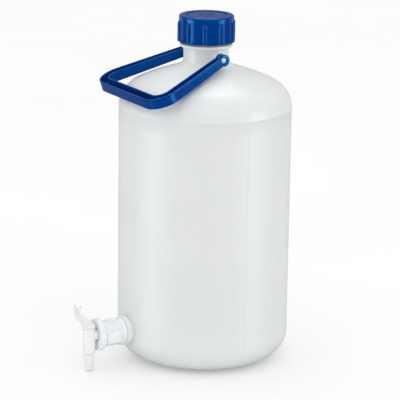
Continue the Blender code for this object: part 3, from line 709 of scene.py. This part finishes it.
def spigot_shape():
    """The outlet's collar and threaded tube, solid until it is drilled."""
    thread_end = FINE_START + FINE_PITCH * FINE_TURNS + 2 * FINE_ROOT_HALF
    threaded = straight(SPIGOT_RADIUS, FINE_START - 2 * FINE_ROOT_HALF, thread_end, FINE_RING_STEP)
    outline = rounded([
        (0.0, COLLAR_START),
        (COLLAR_ROOT_RADIUS, COLLAR_START),
        (COLLAR_ROOT_RADIUS, COLLAR_FLANGE_START, SOFT),
        (COLLAR_RADIUS, COLLAR_FLANGE_START, BROAD),
        (COLLAR_RADIUS, COLLAR_END, COLLAR_ROUND),
        (SPIGOT_RADIUS, COLLAR_END, BROAD),
        threaded[0],
    ])
    outline += threaded[1:]
    outline += rounded([
        (SPIGOT_RADIUS, thread_end + TINY),
        (SPIGOT_RADIUS, SPIGOT_END, EASED),
        (0.0, SPIGOT_END),
    ])[1:]

    def relief(angle, radius, height):
        if abs(radius - SPIGOT_RADIUS) > TINY:
            return 0.0
        return FINE_DEPTH * thread_relief(angle, height, FINE_START, FINE_PITCH, FINE_TURNS, FINE_HALVES)

    bm = turned(outline, relief=relief)
    face_outlet(bm)
    return bm


def make_bottle():
    drill = rod(SPIGOT_BORE, COLLAR_START - 3 * OVERSHOOT, SPIGOT_END + OVERSHOOT)
    face_outlet(drill)
    changes = [
        ("UNION", lug_shape(1)),
        ("UNION", lug_shape(-1)),
        ("UNION", spigot_shape()),
        ("DIFFERENCE", drill),
    ]
    shell = turned(bottle_outline(), bottle_angles(), bottle_relief)
    return combined("bottle_shell", shell, changes)


# ---------------- cap and liner


def cap_outline():
    """Outline of the cap from the middle of its top, down the outside and up its bore."""
    band_top = CAP_BOTTOM + CAP_BAND_HEIGHT
    recess = CAP_TOP - CAP_RECESS_DEPTH
    disc = CAP_TOP - CAP_DISC_DEPTH
    slope = CAP_RECESS_DEPTH - CAP_DISC_DEPTH
    soft = 0.35 * MM
    points = rounded([
        (0.0, disc - GATE_MARK_DEPTH),
        (GATE_MARK_RADIUS, disc - GATE_MARK_DEPTH, soft / 2),
        (GATE_MARK_RADIUS + GATE_MARK_DEPTH, disc, soft / 2),
        (CAP_GROOVE_INNER, disc, soft),
        (CAP_GROOVE_INNER + slope, recess, soft),
        (CAP_GROOVE_OUTER - slope, recess, soft),
        (CAP_GROOVE_OUTER, disc, soft),
        (CAP_DISC_RADIUS, disc, soft),
        (CAP_DISC_RADIUS + slope, recess, soft),
        (CAP_RIM_INNER - slope, recess, soft),
        (CAP_RIM_INNER, CAP_TOP, soft),
        (CAP_RADIUS, CAP_TOP, CAP_EDGE_ROUND),
        (CAP_RADIUS, RIB_TOP + RIB_RADIUS / 2),
    ])
    points += straight(CAP_RADIUS, RIB_TOP, band_top + CAP_RING_END, CAP_RING_STEP)
    points += rounded([
        (CAP_RADIUS, band_top + CAP_FILLET_START),
        (CAP_RADIUS, band_top, EASED),
        (CAP_BAND_RADIUS, band_top - CAP_BAND_SLOPE, EASED),
        (CAP_BAND_RADIUS, CAP_BOTTOM, CAP_BAND_ROUND),
        (CAP_BORE, CAP_BOTTOM, SOFT),
        (CAP_BORE, CAP_BOTTOM + CAP_MOUTH_RUN),
    ])
    start = THREAD_START - CAP_THREAD_OFFSET - 2 * THREAD_ROOT_HALF
    end = start + CAP_PITCH * THREAD_TURNS + 4 * THREAD_ROOT_HALF
    points += straight(CAP_BORE, start, end, THREAD_RING_STEP)
    points += [(CAP_BORE, CAP_CEILING), (0.0, CAP_CEILING)]
    return points


def grip_rib(angle, height):
    """Outer radius of the nearest half-round grip rib, whose two ends are domed."""
    pitch = math.tau / RIB_COUNT
    away = math.remainder(angle - math.radians(RIB_FIRST_ANGLE), pitch)
    centre = RIB_CREST - RIB_RADIUS
    over = max(0.0, height - (RIB_TOP - RIB_RADIUS), RIB_FOOT + RIB_RADIUS / 2 - height)
    if over >= RIB_RADIUS:
        return 0.0
    half = math.sqrt(RIB_RADIUS * RIB_RADIUS - over * over)
    across = abs(centre * math.sin(away))
    if across >= half:
        return centre * math.cos(away) - 2 * (across - half)
    return centre * math.cos(away) + math.sqrt(half * half - across * across)


def cap_relief(angle, radius, height):
    """Grip ribs on the side, blended into it by a small fillet, and the thread in the bore."""
    if abs(radius - CAP_BORE) < TINY and height < CAP_CEILING - TINY:
        start = THREAD_START - CAP_THREAD_OFFSET
        share = thread_relief(angle, height, start, CAP_PITCH, THREAD_TURNS, THREAD_HALVES)
        return -CAP_THREAD_DEPTH * share
    if radius < CAP_RADIUS - CAP_SIDE_MARGIN or height < RIB_FOOT:
        return 0.0
    rib = grip_rib(angle, height)
    share = max(0.0, min(1.0, 0.5 + 0.5 * (rib - radius) / RIB_BLEND))
    blended = radius + (rib - radius) * share + RIB_BLEND * share * (1 - share)
    return min(blended, RIB_CREST) - radius if share > 0.0 else 0.0


def make_cap():
    return object_from("cap_shell", turned(cap_outline(), even_angles(CAP_SEGMENTS), cap_relief))


def make_liner():
    """The liner, pressed in by the neck's rim on its lower face."""
    radius = LINER_HIGH.x
    press = 0.15 * MM
    low = LINER_LOW.z
    outline = rounded([
        (0.0, low),
        (NECK_BORE - press, low, press),
        (NECK_BORE, low + press, press),
        (NECK_RADIUS, low + press, press),
        (NECK_RADIUS + press, low, press),
        (radius, low, FINE),
        (radius, LINER_HIGH.z, FINE),
        (0.0, LINER_HIGH.z),
    ])
    return object_from("liner_disc", turned(outline))


# ---------------- handle


def handle_route():
    """Outer edge of the handle in plan, from the right pivot round the grip to the left.

    Each entry is a point on the outer edge, the unit vector that points inwards from it, and
    the channel's width and height there. The legs grow from the pivots to the grip.
    """
    splay = math.atan2(HANDLE_HALF_AT_GRIP - HANDLE_HALF_AT_PIVOT, HANDLE_LENGTH)
    turn = math.pi / 2 + splay
    trim = GRIP_CORNER * math.tan(turn / 2)
    centre = (HANDLE_HALF_AT_GRIP - trim, GRIP_CORNER - HANDLE_LENGTH)
    right = [((HANDLE_HALF_AT_PIVOT, 0.0), (-math.cos(splay), -math.sin(splay)), PIVOT_CHANNEL)]
    for step in range(GRIP_CORNER_STEPS + 1):
        angle = splay - turn * step / GRIP_CORNER_STEPS
        outward = (math.cos(angle), math.sin(angle))
        point = (centre[0] + GRIP_CORNER * outward[0], centre[1] + GRIP_CORNER * outward[1])
        right.append((point, (-outward[0], -outward[1]), GRIP_CHANNEL))
    left = []
    for point, inward, size in reversed(right):
        left.append(((-point[0], point[1]), (-inward[0], inward[1]), size))
    return right + left


def channel_section(width, height):
    """The channel's section as (depth from the outer edge, height), lined on its outer wall.

    The wall lies back by the lines' height, so that only the lines and rims reach the edge.
    """
    half = height / 2
    floor = CHANNEL_WEB - half
    soft = CHANNEL_ROUND
    rim = half - 2 * LINE_HALF
    corners = [
        (0.0, -half, soft),
        (0.0, -rim, LINE_HEIGHT / 2),
        (LINE_HEIGHT, -rim + LINE_HEIGHT, LINE_HEIGHT / 2),
    ]
    for share in LINE_PLACES:
        middle = share * height
        corners += [
            (LINE_HEIGHT, middle - LINE_HALF, LINE_HEIGHT / 2),
            (0.0, middle, LINE_HEIGHT / 2),
            (LINE_HEIGHT, middle + LINE_HALF, LINE_HEIGHT / 2),
        ]
    corners += [
        (LINE_HEIGHT, rim - LINE_HEIGHT, LINE_HEIGHT / 2),
        (0.0, rim, LINE_HEIGHT / 2),
        (0.0, half, soft),
        (CHANNEL_WALL, half, soft),
        (CHANNEL_WALL, floor, 2 * soft),
        (width - CHANNEL_WALL, floor, 2 * soft),
        (width - CHANNEL_WALL, half, soft),
        (width, half, soft),
        (width, -half, 2 * soft),
    ]
    return rounded(corners, closed=True)


def handle_channel():
    """The channel swept along the handle's route."""
    bm = bmesh.new()
    rings = []
    for point, inward, size in handle_route():
        ring = []
        for depth, height in channel_section(*size):
            place = (point[0] + inward[0] * depth, point[1] + inward[1] * depth, height)
            ring.append(bm.verts.new(place))
        rings.append(ring)
    for ring, following in zip(rings, rings[1:]):
        stitch(bm, ring, following)
    bm.faces.new(rings[0])
    bm.faces.new(rings[-1])
    return bm


def side_round(corners, side):
    """A round shape along X from (radius, distance, rounding) corners, on one side."""
    bm = turned(rounded(corners))
    turn_bm(bm, 90 * side, "Y")
    return bm


def make_handle():
    outer = HANDLE_HALF_AT_PIVOT
    inner = outer - EYE_LENGTH
    changes = []
    for side in (1, -1):
        eye = [(0.0, inner), (EYE_RADIUS, inner, EYE_ROUND), (EYE_RADIUS, outer, EYE_ROUND), (0.0, outer)]
        start = inner - EYE_LENGTH
        end = outer + EYE_LENGTH
        seat = outer - EYE_RECESS_DEPTH
        bore = [(0.0, start), (EYE_BORE, start), (EYE_BORE, end), (0.0, end)]
        recess = [(0.0, seat), (EYE_RECESS_RADIUS, seat, CRISP), (EYE_RECESS_RADIUS, end), (0.0, end)]
        changes.append(("UNION", side_round(eye, side)))
        changes.append(("DIFFERENCE", side_round(bore, side)))
        changes.append(("DIFFERENCE", side_round(recess, side)))
    item = combined("handle_bail", handle_channel(), changes)
    place = Matrix.Translation((0.0, 0.0, PIVOT_Z))
    item.data.transform(place @ Matrix.Rotation(math.radians(HANDLE_TILT), 4, "X"))
    return item


# ---------------- tap


def nut_outline():
    back_end = NUT_START + NUT_BACK_LENGTH
    front_start = NUT_END - NUT_FRONT_LENGTH
    soft = NUT_ROUND
    thread_start = FINE_START + NUT_THREAD_OFFSET - 2 * FINE_ROOT_HALF
    thread_end = thread_start + FINE_PITCH * NUT_THREAD_TURNS + 4 * FINE_ROOT_HALF
    points = rounded([
        (NUT_BORE, NUT_START + 1 * MM),
        (NUT_BORE, NUT_START, soft / 2),
        (NUT_BACK_RADIUS, NUT_START, soft),
        (NUT_BACK_RADIUS, back_end, soft / 2),
        (NUT_RADIUS, back_end + soft, soft),
        (NUT_RADIUS, front_start - soft, soft),
        (NUT_FRONT_RADIUS, front_start, soft / 2),
        (NUT_FRONT_RADIUS, NUT_END, soft),
        (NUT_RECESS_RADIUS, NUT_END, soft / 2),
        (NUT_RECESS_RADIUS, NUT_LIP_END, soft / 2),
        (NUT_LIP_BORE, NUT_LIP_END, soft / 2),
        (NUT_LIP_BORE, NUT_LIP_START, soft / 2),
        (NUT_BORE, NUT_LIP_START, soft / 2),
        (NUT_BORE, thread_end + TINY),
    ])
    return points + straight(NUT_BORE, thread_end, thread_start, FINE_RING_STEP)


def nut_relief(angle, radius, height):
    if abs(radius - NUT_BORE) > TINY:
        return 0.0
    start = FINE_START + NUT_THREAD_OFFSET
    share = thread_relief(angle, height, start, FINE_PITCH, NUT_THREAD_TURNS, FINE_HALVES)
    return -NUT_THREAD_DEPTH * share


def make_nut():
    changes = []
    for angle, start, length, width in NUT_PADS:
        size = (PAD_OUTER - PAD_INNER, width, length)
        pad = block(size, ((PAD_OUTER + PAD_INNER) / 2, 0.0, start + length / 2), PAD_ROUND)
        turn_bm(pad, angle, "Z")
        changes.append(("UNION", pad))
    base = turned(nut_outline(), relief=nut_relief)
    item = combined("nut_shell", base, changes)
    item.data.transform(Matrix.Translation((0.0, 0.0, TAP_Z)) @ Matrix.Rotation(math.radians(90), 4, "X"))
    return item


def make_gasket():
    start = -GASKET_HIGH.y
    end = -GASKET_LOW.y
    soft = 0.3 * MM
    outline = rounded([
        (GASKET_INNER, start, soft),
        (GASKET_OUTER, start, soft),
        (GASKET_OUTER, end, soft),
        (GASKET_INNER, end, soft),
    ], closed=True)
    bm = turned(outline)
    face_outlet(bm)
    return object_from("gasket_ring", bm)


def make_tap_body():
    """An upright barrel with an inlet pipe and a flange, drilled both ways."""
    reach = -BARREL_Y
    barrel = rounded([
        (0.0, BARREL_BOTTOM),
        (BARREL_RADIUS, BARREL_BOTTOM, MEDIUM),
        (BARREL_RADIUS, BARREL_TOP, MEDIUM),
        (0.0, BARREL_TOP),
    ])
    inlet = rounded([
        (0.0, FLANGE_START),
        (FLANGE_RADIUS, FLANGE_START, EASED),
        (FLANGE_RADIUS, FLANGE_END, EASED),
        (INLET_RADIUS, FLANGE_END, SLIGHT),
        (INLET_RADIUS, reach),
        (0.0, reach),
    ])
    inlet_shape = turned(inlet, even_angles(CROSSING_SEGMENTS))
    inlet_drill = rod(INLET_BORE, FLANGE_START - OVERSHOOT, reach, CROSSING_SEGMENTS)
    for shape in (inlet_shape, inlet_drill):
        turn_bm(shape, 90, "X")
        move_bm(shape, (0.0, -BARREL_Y, TAP_Z))
    barrel_drill = rod(BARREL_BORE, BARREL_BOTTOM - OVERSHOOT, BARREL_TOP + OVERSHOOT)
    changes = [
        ("UNION", inlet_shape),
        ("DIFFERENCE", inlet_drill),
        ("DIFFERENCE", barrel_drill),
    ]
    item = combined("tap_housing", turned(barrel), changes)
    return move_to_tap(item)


def plug_outline():
    """The plug about its own axis: nozzle, retaining bead, two seal grooves and top."""
    bead_bottom = PLUG_BEAD_TOP - PLUG_BEAD_HEIGHT
    corners = [
        (0.0, NOZZLE_TIP),
        (NOZZLE_TIP_RADIUS, NOZZLE_TIP, EASED),
        (NOZZLE_TOP_RADIUS, bead_bottom, FINE),
        (PLUG_BEAD_RADIUS, bead_bottom + PLUG_BEAD_HEIGHT / 2, FINE),
        (PLUG_BEAD_RADIUS, PLUG_BEAD_TOP, CRISP),
        (PLUG_RADIUS, PLUG_BEAD_TOP, HAIRLINE),
    ]
    for level in sorted(RING_LEVELS.values()):
        corners += [
            (PLUG_RADIUS, level - RING_GROOVE_HALF, HAIRLINE),
            (RING_GROOVE_RADIUS, level - RING_GROOVE_HALF, CRISP),
            (RING_GROOVE_RADIUS, level + RING_GROOVE_HALF, CRISP),
            (PLUG_RADIUS, level + RING_GROOVE_HALF, HAIRLINE),
        ]
    corners += [(PLUG_RADIUS, PLUG_TOP, FINE), (0.0, PLUG_TOP)]
    return rounded(corners)


def make_plug():
    head_bottom = PLUG_TOP - OVERSHOOT
    size = (SQUARE_SIDE, SQUARE_SIDE, SQUARE_TOP - head_bottom)
    head = block(size, (0.0, 0.0, (SQUARE_TOP + head_bottom) / 2), SLIGHT)
    bore = rod(PLUG_BORE, NOZZLE_TIP - OVERSHOOT, PLUG_BORE_TOP)
    port = rod(PORT_RADIUS, 0.0, PLUG_RADIUS + OVERSHOOT, CROSSING_SEGMENTS)
    turn_bm(port, 90, "Y")
    move_bm(port, (0.0, 0.0, TAP_Z))
    changes = [("UNION", head), ("DIFFERENCE", bore), ("DIFFERENCE", port)]
    item = combined("plug_and_nozzle", turned(plug_outline()), changes)
    return move_to_tap(item)


def make_seal_ring(label, level):
    section = arc((RING_RADIUS, level), (RING_SECTION, RING_SECTION), 0, 360, 20)[:-1]
    bm = turned(section)
    move_bm(bm, (0.0, BARREL_Y, 0.0))
    return object_from("seal_ring_" + label, bm)


def paddle_shape():
    """The oval finger paddle, dished inside a rounded rim, nearly upright and leaning out."""
    half = PADDLE_THICKNESS / 2
    rim = PADDLE_RIM / PADDLE_HALF_WIDTH
    soft = PADDLE_SOFTNESS
    profile = rounded([
        (0.0, half - PADDLE_DISH),
        (1.0 - PADDLE_DISH_START * rim, half - PADDLE_DISH, soft),
        (1.0 - PADDLE_RIM_START * rim, half, soft),
        (1.0, half, soft),
        (1.0, -half, soft),
        (0.0, -half),
    ])
    bm = bmesh.new()
    rings = []
    for share, depth in profile:
        if share < TINY:
            rings.append([bm.verts.new((0.0, -depth, 0.0))])
            continue
        ring = []
        for angle in even_angles(ROUND_SEGMENTS):
            across = PADDLE_HALF_WIDTH * share * math.cos(angle)
            ring.append(bm.verts.new((across, -depth, PADDLE_HALF_LENGTH * share * math.sin(angle))))
        rings.append(ring)
    for ring, following in zip(rings, rings[1:]):
        stitch(bm, ring, following)
    turn_bm(bm, PADDLE_LEAN, "X")
    move_bm(bm, (0.0, -PADDLE_OUT, PADDLE_Z))
    return bm


def make_lever():
    hub = rounded([
        (0.0, HUB_BOTTOM),
        (BARREL_RADIUS, HUB_BOTTOM, EASED),
        (BARREL_RADIUS, HUB_TOP, BARREL_RADIUS / 3),
        (0.0, HUB_TOP),
    ])
    arm = plate(rounded(ARM_CORNERS, closed=True), ARM_THICKNESS, ARM_ROUND)
    height = SOCKET_TOP - HUB_BOTTOM + OVERSHOOT
    socket = block((SOCKET_SIDE, SOCKET_SIDE, height), (0.0, 0.0, SOCKET_TOP - height / 2))
    changes = [("UNION", arm), ("UNION", paddle_shape()), ("DIFFERENCE", socket)]
    item = combined("lever_and_paddle", turned(hub), changes)
    return move_to_tap(item)


# ---------------- materials


class Nodes:
    """A short way to add and join shader nodes in one material."""

    def __init__(self, name):
        self.material = bpy.data.materials.new(name)
        self.material.use_nodes = True
        self.tree = self.material.node_tree
        self.shader = self.tree.nodes["Principled BSDF"]
        self.place = self.add("TexCoord").outputs["Object"]

    def add(self, kind):
        return self.tree.nodes.new("ShaderNode" + kind)

    def join(self, source, target):
        self.tree.links.new(source, target)

    def noise(self, scale, detail=3.0, stretch=(1.0, 1.0, 1.0), roughness=0.5):
        mapping = self.add("Mapping")
        mapping.inputs["Scale"].default_value = stretch
        self.join(self.place, mapping.inputs["Vector"])
        node = self.add("TexNoise")
        node.inputs["Scale"].default_value = scale
        node.inputs["Detail"].default_value = detail
        node.inputs["Roughness"].default_value = roughness
        self.join(mapping.outputs["Vector"], node.inputs["Vector"])
        return node.outputs["Fac"]

    def spread(self, source, from_range=(0.3, 0.7), to_range=(0.0, 1.0)):
        node = self.add("MapRange")
        names = ("From Min", "From Max", "To Min", "To Max")
        for name, value in zip(names, (*from_range, *to_range)):
            node.inputs[name].default_value = value
        self.join(source, node.inputs["Value"])
        return node.outputs["Result"]

    def mix(self, factor, first, second):
        """Mix two colours. Each may be a colour or another node's output."""
        node = self.add("Mix")
        node.data_type = "RGBA"
        self.join(factor, node.inputs["Factor"])
        for socket, value in ((node.inputs[6], first), (node.inputs[7], second)):
            if isinstance(value, bpy.types.NodeSocket):
                self.join(value, socket)
            else:
                socket.default_value = (*value, 1.0)
        return node.outputs[2]

    def worn_and_highlit_edges(self):
        """0 on flat stretches and 1 on sharp outer edges, which are worn and, on the blue, also carry a
        painted highlight.
        """
        geometry = self.add("NewGeometry")
        return self.spread(geometry.outputs["Pointiness"], WEAR_AND_HIGHLIGHT_RANGE)

    def bump(self, height, strength, distance, before=None):
        node = self.add("Bump")
        node.inputs["Strength"].default_value = strength
        node.inputs["Distance"].default_value = distance
        self.join(height, node.inputs["Height"])
        if before is not None:
            self.join(before, node.inputs["Normal"])
        return node.outputs["Normal"]

    def drive(self, socket, source):
        """Let a node's output set one of the shader's inputs."""
        self.join(source, self.shader.inputs[socket])

    def set(self, socket, value):
        self.shader.inputs[socket].default_value = value


def shade(colour, factor):
    return tuple(min(1.0, channel * factor) for channel in colour)


def natural_polyethylene():
    """Milky blow-moulded wall: flow streaks, a soft orange peel and faint scuffs."""
    nodes = Nodes("natural_polyethylene_fine")
    colour = NATURAL
    cloud = nodes.noise(14.0, 2.0)
    streak = nodes.noise(1.0, 4.0, (150.0, 150.0, 5.0))
    scuff = nodes.noise(1.0, 6.0, (420.0, 420.0, 110.0), 0.7)
    tone = nodes.mix(nodes.spread(cloud, (0.35, 0.65)), shade(colour, 0.98), shade(colour, 1.01))
    tone = nodes.mix(nodes.spread(streak, (0.35, 0.7), (0.0, 0.25)), tone, shade(colour, 1.03))
    tone = nodes.mix(nodes.spread(scuff, (0.62, 0.78), (0.0, 0.3)), tone, shade(colour, 1.08))
    nodes.drive("Base Color", tone)
    nodes.drive("Roughness", nodes.spread(scuff, (0.3, 0.75), (0.33, 0.5)))
    peel = nodes.noise(900.0, 2.0)
    waves = nodes.noise(1.0, 2.0, (42.0, 42.0, 9.0))
    normal = nodes.bump(waves, 0.3, 0.6 * MM)
    normal = nodes.bump(streak, 0.04, 0.06 * MM, normal)
    normal = nodes.bump(peel, 0.1, 0.06 * MM, normal)
    nodes.drive("Normal", normal)
    nodes.set("Subsurface Weight", 0.22)
    nodes.set("Subsurface Radius", (1.0, 1.05, 1.1))
    nodes.set("Subsurface Scale", 0.006)
    nodes.set("IOR", 1.51)
    return nodes.material


def moulded_plastic(name, colour, roughness, wear_and_highlight, subsurface=0.0, level=0.5, tint=NO_TINT):
    """Injection-moulded plastic: faint flow marks, fine grain, fingermarks and worn edges, which on the
    blue are also a painted highlight.
    """
    nodes = Nodes(name)
    flow = nodes.noise(11.0, 3.0)
    handled = nodes.noise(70.0, 5.0, roughness=0.6)
    tone = nodes.mix(nodes.spread(flow), shade(colour, 0.92), shade(colour, 1.08))
    # Sharp edges take the edge colour: wear, and on the blue a painted highlight as well
    tone = nodes.mix(nodes.worn_and_highlit_edges(), tone, wear_and_highlight)
    nodes.drive("Base Color", tone)
    span = (roughness - 0.04, roughness + 0.07)
    nodes.drive("Roughness", nodes.spread(handled, (0.3, 0.7), span))
    grain = nodes.noise(1500.0, 2.0)
    normal = nodes.bump(handled, 0.1, 0.12 * MM)
    normal = nodes.bump(grain, 0.06, 0.03 * MM, normal)
    nodes.drive("Normal", normal)
    nodes.set("Subsurface Weight", subsurface)
    nodes.set("Subsurface Radius", (1.0, 1.0, 0.9))
    nodes.set("Subsurface Scale", 0.004)
    nodes.set("Specular IOR Level", level)
    nodes.set("Specular Tint", (*tint, 1.0))
    return nodes.material


def liner_foam():
    """Closed-cell foam: tiny dimples of uneven size."""
    nodes = Nodes("liner_foam_fine")
    colour = FOAM
    cells = nodes.add("TexVoronoi")
    cells.inputs["Scale"].default_value = 1600.0
    nodes.join(nodes.place, cells.inputs["Vector"])
    cloud = nodes.noise(60.0, 4.0)
    tone = nodes.mix(nodes.spread(cloud), shade(colour, 0.93), shade(colour, 1.05))
    nodes.drive("Base Color", tone)
    nodes.drive("Roughness", nodes.spread(cloud, (0.3, 0.7), (0.65, 0.85)))
    nodes.drive("Normal", nodes.bump(cells.outputs["Distance"], 0.4, 0.15 * MM))
    return nodes.material


def seal_rubber():
    """Black rubber with a dusty bloom and a fine moulded grain."""
    nodes = Nodes("seal_rubber_fine")
    bloom = nodes.noise(260.0, 5.0, roughness=0.7)
    tone = nodes.mix(nodes.spread(bloom, (0.45, 0.75), (0.0, 0.5)), RUBBER, RUBBER_BLOOM)
    nodes.drive("Base Color", tone)
    nodes.drive("Roughness", nodes.spread(bloom, (0.3, 0.7), (0.45, 0.7)))
    grain = nodes.noise(2600.0, 2.0)
    nodes.drive("Normal", nodes.bump(grain, 0.25, 0.05 * MM))
    return nodes.material


# ---------------- stage


def make_floor():
    """A wide pale floor that is bright enough to read as white away from the object."""
    bm = bmesh.new()
    bmesh.ops.create_grid(bm, x_segments=1, y_segments=1, size=FLOOR_HALF_SIZE)
    floor = object_from("floor", bm)
    nodes = Nodes("studio_floor")
    speck = nodes.noise(3.0, 2.0)
    tone = nodes.mix(nodes.spread(speck), *FLOOR_COLOURS)
    nodes.drive("Base Color", tone)
    nodes.set("Roughness", 0.75)
    nodes.set("Specular IOR Level", 0.2)
    nodes.set("Emission Color", (1.0, 1.0, 1.0, 1.0))
    nodes.set("Emission Strength", FLOOR_GLOW)
    floor.data.materials.append(nodes.material)
    floor.visible_glossy = False


def area_light(name, size, watts, place, aim, diffuse=True):
    light = bpy.data.lights.new(name, "AREA")
    light.shape = "RECTANGLE"
    light.size, light.size_y = size
    light.energy = watts
    item = add_to_scene(name, light)
    item.location = place
    item.rotation_euler = (Vector(aim) - Vector(place)).to_track_quat("-Z", "Y").to_euler()
    item.visible_diffuse = diffuse


def make_lights():
    area_light("top_softbox", TOP_SIZE, TOP_WATTS, TOP_PLACE, LIGHT_AIM, diffuse=False)
    area_light("front_softbox", FRONT_SIZE, FRONT_WATTS, FRONT_PLACE, LIGHT_AIM)
    overhead = bpy.data.lights.new("overhead_light", "SUN")
    overhead.energy = SUN_STRENGTH
    overhead.angle = math.radians(SUN_SPREAD)
    add_to_scene("overhead_light", overhead)
    make_world()


def make_world():
    """Even white light, a dim room with screens to mirror, and plain white to the camera."""
    world = bpy.data.worlds.new("studio")
    world.use_nodes = True
    tree = world.node_tree
    background = tree.nodes["Background"]
    place = tree.nodes.new("ShaderNodeTexCoord").outputs["Generated"]
    path = tree.nodes.new("ShaderNodeLightPath")

    def fade(factor, start, end, low, high):
        """Go smoothly from low to high; each of them may be a number or another node's output."""
        node = tree.nodes.new("ShaderNodeMapRange")
        node.inputs["From Min"].default_value = start
        node.inputs["From Max"].default_value = end
        for name, value in (("To Min", low), ("To Max", high)):
            if isinstance(value, float):
                node.inputs[name].default_value = value
            else:
                tree.links.new(value, node.inputs[name])
        tree.links.new(factor, node.inputs["Value"])
        return node.outputs["Result"]

    def along(direction):
        node = tree.nodes.new("ShaderNodeVectorMath")
        node.operation = "DOT_PRODUCT"
        node.inputs[1].default_value = direction
        tree.links.new(place, node.inputs[0])
        return node.outputs["Value"]

    height = along((0.0, 0.0, 1.0))
    mirrored = fade(height, *ROOM_SLOPES, MIRRORED_LOW, MIRRORED_HIGH)
    for angle, half_width, brightness in SCREENS:
        turn = math.radians(angle)
        facing = along((math.cos(turn), math.sin(turn), 0.0))
        inner = math.cos(math.radians(half_width))
        outer = math.cos(math.radians(half_width + SCREEN_FADE))
        glow = fade(height, *SCREEN_SLOPES, brightness, SCREEN_TOP_SHARE * brightness)
        mirrored = fade(facing, outer, inner, mirrored, glow)
    lit = fade(path.outputs["Is Glossy Ray"], 0.0, 1.0, STUDIO_LIGHT, mirrored)
    strength = fade(path.outputs["Is Camera Ray"], 0.0, 1.0, lit, 1.0)
    tree.links.new(strength, background.inputs["Strength"])
    background.inputs["Color"].default_value = (1.0, 1.0, 1.0, 1.0)
    bpy.context.scene.world = world


def make_camera():
    """The camera at the object's three-quarter view, slightly above it."""
    place = Vector(CAMERA_PLACE)
    aim = Vector(CAMERA_AIM)
    roll = math.radians(CAMERA_ROLL)
    forward = (aim - place).normalized()
    right = forward.cross(Vector((0.0, 0.0, 1.0))).normalized()
    up = right.cross(forward)
    turned_right = right * math.cos(roll) + up * math.sin(roll)
    turned_up = up * math.cos(roll) - right * math.sin(roll)
    matrix = Matrix((turned_right, turned_up, -forward)).transposed().to_4x4()
    matrix.translation = place
    camera = bpy.data.cameras.new("camera")
    camera.lens = CAMERA_LENS
    camera.sensor_width = CAMERA_SENSOR
    item = add_to_scene("camera", camera)
    item.matrix_world = matrix
    bpy.context.scene.camera = item


# ---------------- assembly


def dress(item, material, body, node):
    """Finish a piece: smooth faces, its material, its body and the CAD node it stands for."""
    item.data.materials.clear()
    item.data.materials.append(material)
    item.data.shade_smooth()
    item.data.set_sharp_from_angle(angle=math.radians(SHARP_ANGLE))
    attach(item, body)
    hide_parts(node)


def main():
    natural = natural_polyethylene()
    # The blue's lighter edge colour is partly wear and partly a painted highlight along the rims
    blue = moulded_plastic(
        "blue_polypropylene_fine", BLUE, 0.15, BLUE_WORN_AND_HIGHLIT, level=0.42, tint=BLUE_GLOSS
    )
    white = moulded_plastic("white_polypropylene_fine", WHITE, 0.22, WHITE_WORN, subsurface=0.15)
    milky = moulded_plastic("milky_polypropylene_fine", MILKY, 0.2, MILKY_WORN, subsurface=0.3)
    foam = liner_foam()
    rubber = seal_rubber()
    dress(make_bottle(), natural, "bottle", "bottle_body")
    dress(make_cap(), blue, "cap", "screw_cap")
    dress(make_liner(), foam, "liner", "cap_liner")
    dress(make_handle(), blue, "handle", "carrying_handle")
    dress(make_nut(), white, "bottle", "union_nut")
    dress(make_gasket(), rubber, "bottle", "tap_gasket")
    dress(make_tap_body(), milky, "bottle", "tap_body")
    dress(make_plug(), milky, "tap_cock", "tap_plug")
    for label, level in RING_LEVELS.items():
        dress(make_seal_ring(label, level), rubber, "tap_cock", "plug_oring_" + label)
    dress(make_lever(), milky, "tap_cock", "tap_lever")
    make_floor()
    make_lights()
    make_camera()
    bpy.context.scene.view_settings.view_transform = "Standard"


main()
